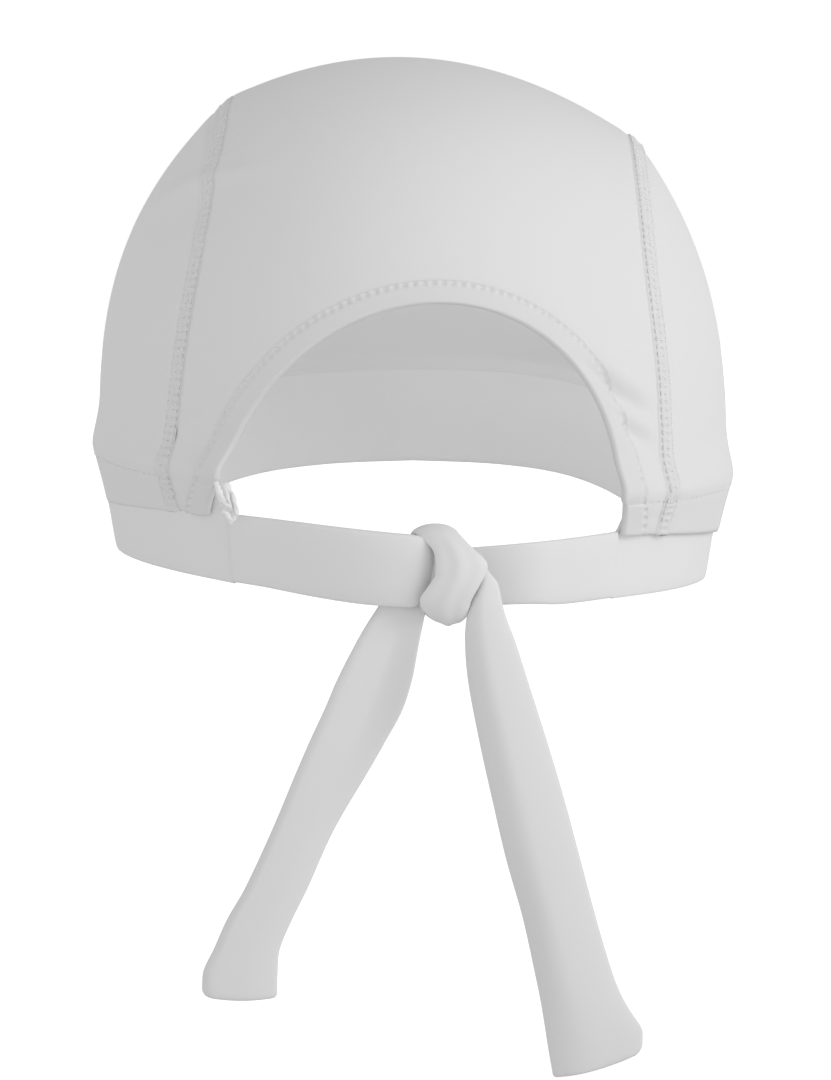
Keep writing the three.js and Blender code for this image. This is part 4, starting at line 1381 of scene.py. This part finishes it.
@dataclass
class Knot:
    """The closed knot: a wrap over a core."""

    centre: tuple[float, float] = (-96.6, -122.8)
    half_depth: float = 8.6
    half_height: float = 12.0
    wall: float = 2.2
    pleat: float = 0.26

    def wrap(self, u: np.ndarray, v: np.ndarray) -> Points:
        """The wrap's skin.

        Args:
            u: Once round its section.
            v: Once round the knot, from the front over the top.

        Returns:
            The points.
        """
        turn = 2 * np.pi * u
        angle = 2 * np.pi * v
        row = WRAP.read(360 * v)
        side = np.sign(np.cos(turn)) * np.abs(np.cos(turn)) ** 0.8
        face = np.sign(np.sin(turn)) * np.abs(np.sin(turn)) ** 0.9
        x = lerp(row["left"], row["right"], (side + 1) / 2)
        front = smooth((np.cos(angle + 0.5) + 0.25) / 1.0)
        pleats = self.pleat * np.cos(side * 7.0 + 0.5) * front * bump(side, 0.75)
        lift = face * self.wall / 2 + 1.1 * (1 - side**2) + np.where(face > 0, pleats, 0)
        y = self.centre[0] - (self.half_depth - 2.2 + lift) * np.cos(angle)
        z = self.centre[1] + (self.half_height - 2.2 + lift) * np.sin(angle)
        return np.stack([x, y, z], axis=-1)

    def core(self, u: np.ndarray, v: np.ndarray) -> Points:
        """The core's skin: a plain round form inside the wrap."""
        turn, rise = 2 * np.pi * u, np.pi * v
        x = 8.2 - 7.2 * np.cos(rise)
        reach = np.sin(rise) ** 0.4
        low = 1 - 0.38 * smooth((x - 5.0) / 8.0)
        deep = 0.5 + 0.5 * smooth((x - 4.0) / 8.0)
        y = self.centre[0] - (self.half_depth - 3.2) * reach * deep * np.cos(turn)
        z = self.centre[1] + (self.half_height - 1.2) * reach * low * np.sin(turn)
        return np.stack([x, y, z], axis=-1)

    def build(self) -> bpy.types.Object:
        """Builds the knot."""
        wrap = Roll("knot_band", TIE_KNIT, (56, 120), (30.0, 62.0), self.wrap).build()
        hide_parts("knot_wrap")
        core = Roll("knot_inside", TIE_KNIT, (32, 24), (40.0, 20.0), self.core).build()
        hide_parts("knot_core")
        return wrap


LEFT_TAIL = Table(
    "down left right depth edge rise",
    (124.0, -3.0, 5.0, -92.5, 0.0, 0.0),
    (128.0, -6.5, 4.2, -93.4, 0.5, 0.5),
    (131.8, -9.0, 3.0, -94.6, 0.8, 2.2),
    (135.5, -11.4, 2.2, -95.8, 0.8, 3.2),
    (140.5, -14.2, 1.2, -96.7, 0.8, 4.0),
    (147.6, -17.8, -0.2, -97.4, 0.8, 4.3),
    (154.6, -20.8, -2.5, -97.8, 0.9, 3.7),
    (161.7, -24.1, -6.3, -98.2, 1.0, 2.0),
    (168.8, -27.2, -10.3, -98.3, 1.1, 0.8),
    (182.9, -33.1, -18.5, -98.3, 1.4, -0.7),
    (197.1, -39.7, -24.9, -98.2, 1.5, -1.0),
    (204.2, -43.8, -28.4, -98.1, 1.4, -0.9),
    (211.2, -46.9, -31.3, -98.0, 1.2, -0.7),
    (216.5, -49.3, -31.8, -98.0, 0.9, -0.6),
    (220.9, -49.7, -31.9, -98.0, 0.8, -0.5),
)

RIGHT_TAIL = Table(
    "down left right depth edge rise",
    (119.6, 14.6, 16.2, -99.0, 0.2, 0.0),
    (122.2, 15.2, 18.0, -100.4, 0.5, -0.3),
    (124.5, 15.0, 19.8, -101.0, 0.8, -0.8),
    (129.5, 13.4, 21.0, -101.4, 1.6, -1.2),
    (133.5, 12.5, 22.2, -101.2, 2.4, -1.5),
    (138.2, 12.2, 24.0, -100.8, 3.2, -1.8),
    (147.6, 12.9, 27.0, -99.8, 3.8, -2.0),
    (161.7, 15.5, 31.5, -98.8, 4.0, -2.2),
    (175.8, 18.6, 35.7, -98.4, 4.0, -2.3),
    (190.0, 21.9, 39.5, -98.2, 3.8, -2.3),
    (204.2, 25.9, 43.3, -98.0, 3.6, -2.3),
    (218.3, 29.0, 47.6, -98.0, 3.2, -2.2),
    (226.0, 30.6, 51.0, -98.0, 2.8, -2.0),
    (232.4, 31.9, 54.0, -98.0, 2.4, -1.8),
    (236.9, 32.9, 54.2, -98.0, 2.2, -1.6),
)


@dataclass
class Tail:
    """A free end of the ties: a folded strip that hangs from the knot.

    The table's edge says how far the left border turns back, and its rise how far the right part comes forward.
    """

    side: Side
    rows: Table
    slant: float
    corners: tuple[float, float]
    turned: float
    raised: float
    thickness: float = 2.3
    length: float = 100.0
    end_share: float = 0.03
    belly: float = 0.6
    forward_power: float = 1.5

    def skin(self, u: np.ndarray, v: np.ndarray) -> Points:
        """The strip's skin.

        Args:
            u: Once round its section.
            v: Share along, from the knot to the free end.

        Returns:
            The points.
        """
        down = self.rows.values[:, 0]
        reach = 1 - self.end_share
        row = self.rows.read(lerp(down[0], down[-1], np.minimum(v / reach, 1)))
        turn = 2 * np.pi * u
        side = np.cos(turn)
        face = np.sign(np.sin(turn)) * np.abs(np.sin(turn)) ** 0.5
        bend = np.pi / 2 * np.clip((v - reach) / self.end_share, 0, 1)
        opening = np.clip(1 - v / 0.012, 0, 1)
        thin = np.sqrt(np.clip(1 - opening**2, 0, 1)) * np.clip(np.cos(bend), 0, 1) ** 0.4
        left_corner, right_corner = self.corners
        left = row["left"] + left_corner * (1 - np.cos(bend))
        right = row["right"] - right_corner * (1 - np.cos(bend))
        x = lerp(left, right, (side + 1) / 2)
        border = np.clip((-side - 1 + 2 * self.turned) / (2 * self.turned), 0, 1)
        forward = np.clip((side - 1 + 2 * self.raised) / (2 * self.raised), 0, 1)
        depth = row["depth"] + row["edge"] * border**2 - row["rise"] * forward**self.forward_power
        depth -= face * thin * self.thickness / 2
        past = lerp(left_corner, right_corner, (side + 1) / 2) * np.sin(bend)
        slant = (self.slant * side - self.belly * (1 - side**2)) * smooth((v - 0.84) / 0.16)
        return np.stack([x, depth, slant - row["down"] - past], axis=-1)

    def build(self) -> bpy.types.Object:
        """Builds the tail."""
        name = self.side.name.lower()
        piece = Roll(f"tie_end_{name}", TIE_KNIT, (56, 170), (36.0, self.length), self.skin).build()
        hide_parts(f"tie_tail_{name}")
        return piece


@dataclass
class HemStitches:
    """The row of stitches round the body's hem."""

    def build(self) -> bpy.types.Object:
        """Builds the row."""
        start = float(FORM.angle_at(FORM.arch_shift + FORM.arch_width / 2 + 6.5, 0.9))
        end = 360 + float(FORM.angle_at(FORM.arch_shift - FORM.arch_width / 2 - 6.5, 0.9))

        def skin(angle: np.ndarray, level: np.ndarray) -> Points:
            return FORM.settled(FORM.ring(angle, level))

        lattice = Lattice(skin, (start, end, 361), (HEM.stitch_level - 0.1, HEM.stitch_level + 0.1, 3))

        def path(share: np.ndarray) -> Points:
            level = HEM.stitch_level + 0 * share
            point, normal = lattice.read(lerp(start, end, share), level)
            height = FORM.cloth + HEM.lift(level) + 0.02
            return point + normal * height[:, None]

        return Stitches("hem_stitches", path, path, Track(path), PITCH.hem, radius=0.17, ahead=1.6).build()


@dataclass(frozen=True)
class Studio:
    """Floor, light and camera."""

    elevation: float = 3.0
    distance: float = 1400.0
    target: tuple[float, float, float] = (0.63, 0.0, -119.8)
    focal: float = 185.19
    floor: float = -420.0

    def build(self) -> None:
        """Builds the studio."""
        scene = bpy.context.scene
        scene.view_settings.view_transform = "Standard"
        tilt = math.radians(self.elevation)
        target = Vector(self.target)
        eye = target + self.distance * Vector((0, -math.cos(tilt), math.sin(tilt)))
        camera = bpy.data.cameras.new("camera")
        camera.lens = self.focal
        camera.sensor_width = 36
        camera.sensor_fit = "AUTO"
        holder = bpy.data.objects.new("camera", camera)
        holder.location = eye * MM
        holder.rotation_euler = (target - eye).to_track_quat("-Z", "Y").to_euler()
        bpy.context.collection.objects.link(holder)
        scene.camera = holder
        self.light("key", (1500, -850, 750), 900, 9.5)
        self.light("fill", (-300, -1500, 500), 900, 0.4)
        self.light("inside", (14, 14, -52), 40, 0.055, "POINT")
        self.world(0.57)
        self.ground()

    def light(self, name: str, place: tuple[float, float, float], size: float, power: float,
              kind: str = "AREA") -> None:
        """Adds a soft light aimed at the cap.

        Args:
            name: Its name.
            place: Where it stands.
            size: Its width.
            power: Its power in watts.
            kind: AREA for a panel, POINT for a bulb.
        """
        lamp = bpy.data.lights.new(name, kind)
        if kind == "AREA":
            lamp.size = size * MM
        else:
            lamp.shadow_soft_size = size * MM / 2
        lamp.energy = power
        holder = bpy.data.objects.new(name, lamp)
        holder.location = Vector(place) * MM
        holder.rotation_euler = (Vector(self.target) - Vector(place)).to_track_quat("-Z", "Y").to_euler()
        holder.visible_camera = False
        bpy.context.collection.objects.link(holder)

    def world(self, strength: float) -> None:
        """Lights the room evenly and shows it white.

        Args:
            strength: Strength of the even light.
        """
        world = bpy.data.worlds.new("room")
        world.use_nodes = True
        bpy.context.scene.world = world
        tree = world.node_tree
        lit = tree.nodes["Background"]
        lit.inputs["Color"].default_value = (1, 1, 1, 1)
        lit.inputs["Strength"].default_value = strength
        seen = tree.nodes.new("ShaderNodeBackground")
        seen.inputs["Strength"].default_value = 1.0
        seen.inputs["Color"].default_value = (1, 1, 1, 1)
        rays = tree.nodes.new("ShaderNodeLightPath")
        mix = tree.nodes.new("ShaderNodeMixShader")
        tree.links.new(rays.outputs["Is Camera Ray"], mix.inputs["Fac"])
        tree.links.new(lit.outputs["Background"], mix.inputs[1])
        tree.links.new(seen.outputs["Background"], mix.inputs[2])
        tree.links.new(mix.outputs["Shader"], tree.nodes["World Output"].inputs["Surface"])

    def ground(self) -> None:
        """Lays the pale floor, with painted light: it glows by emission towards its far edges and is greyer in the
        middle.
        """
        shape = bmesh.new()
        bmesh.ops.create_grid(shape, x_segments=1, y_segments=1, size=20, matrix=Matrix.Translation((0, 0, self.floor * MM)))
        mesh = bpy.data.meshes.new("floor")
        shape.to_mesh(mesh)
        shape.free()
        material = bpy.data.materials.new("floor")
        material.use_nodes = True
        shader = material.node_tree.nodes["Principled BSDF"]
        shader.inputs["Roughness"].default_value = 1.0
        shader.inputs["Emission Color"].default_value = (1, 1, 1, 1)
        tree = material.node_tree
        place = tree.nodes.new("ShaderNodeTexCoord")
        length = tree.nodes.new("ShaderNodeVectorMath")
        length.operation = "LENGTH"
        tree.links.new(place.outputs["Object"], length.inputs[0])
        # Painted light: emission and a paler colour that grow away from the middle, so the floor glows white far off
        # and stays dim under the cap.
        for socket, near, far in (("Emission Strength", 0.0, 0.7), ("Base Color", 0.62, 0.9)):
            fade = tree.nodes.new("ShaderNodeMapRange")
            fade.interpolation_type = "SMOOTHSTEP"
            for name, value in {"From Min": 0.5, "From Max": 1.5, "To Min": near, "To Max": far}.items():
                fade.inputs[name].default_value = value
            tree.links.new(length.outputs["Value"], fade.inputs["Value"])
            tree.links.new(fade.outputs["Result"], shader.inputs[socket])
        mesh.materials.append(material)
        floor = bpy.data.objects.new("floor", mesh)
        bpy.context.collection.objects.link(floor)


def main() -> None:
    """Builds the studio and the cap, piece by piece."""
    logging.basicConfig(level=logging.INFO, format="%(message)s")
    Studio().build()
    CrownPanel().build()
    for lap in (SeamLap(Side.LEFT, proud=0.24, folds=1.0), SeamLap(Side.RIGHT, proud=0.5, folds=0.3)):
        SidePanel(lap.side).build()
        lap.build()
    ArchHem().build()
    FrayedEnd().build()
    HemStitches().build()
    Headband().build()
    Knot().build()
    Tail(Side.LEFT, LEFT_TAIL, -0.6, (2.4, 1.2), turned=0.14, raised=0.42, length=100.0).build()
    Tail(Side.RIGHT, RIGHT_TAIL, 3.8, (1.0, 4.0), turned=0.45, raised=0.85, length=124.0).build()


if __name__ == "__main__":
    main()
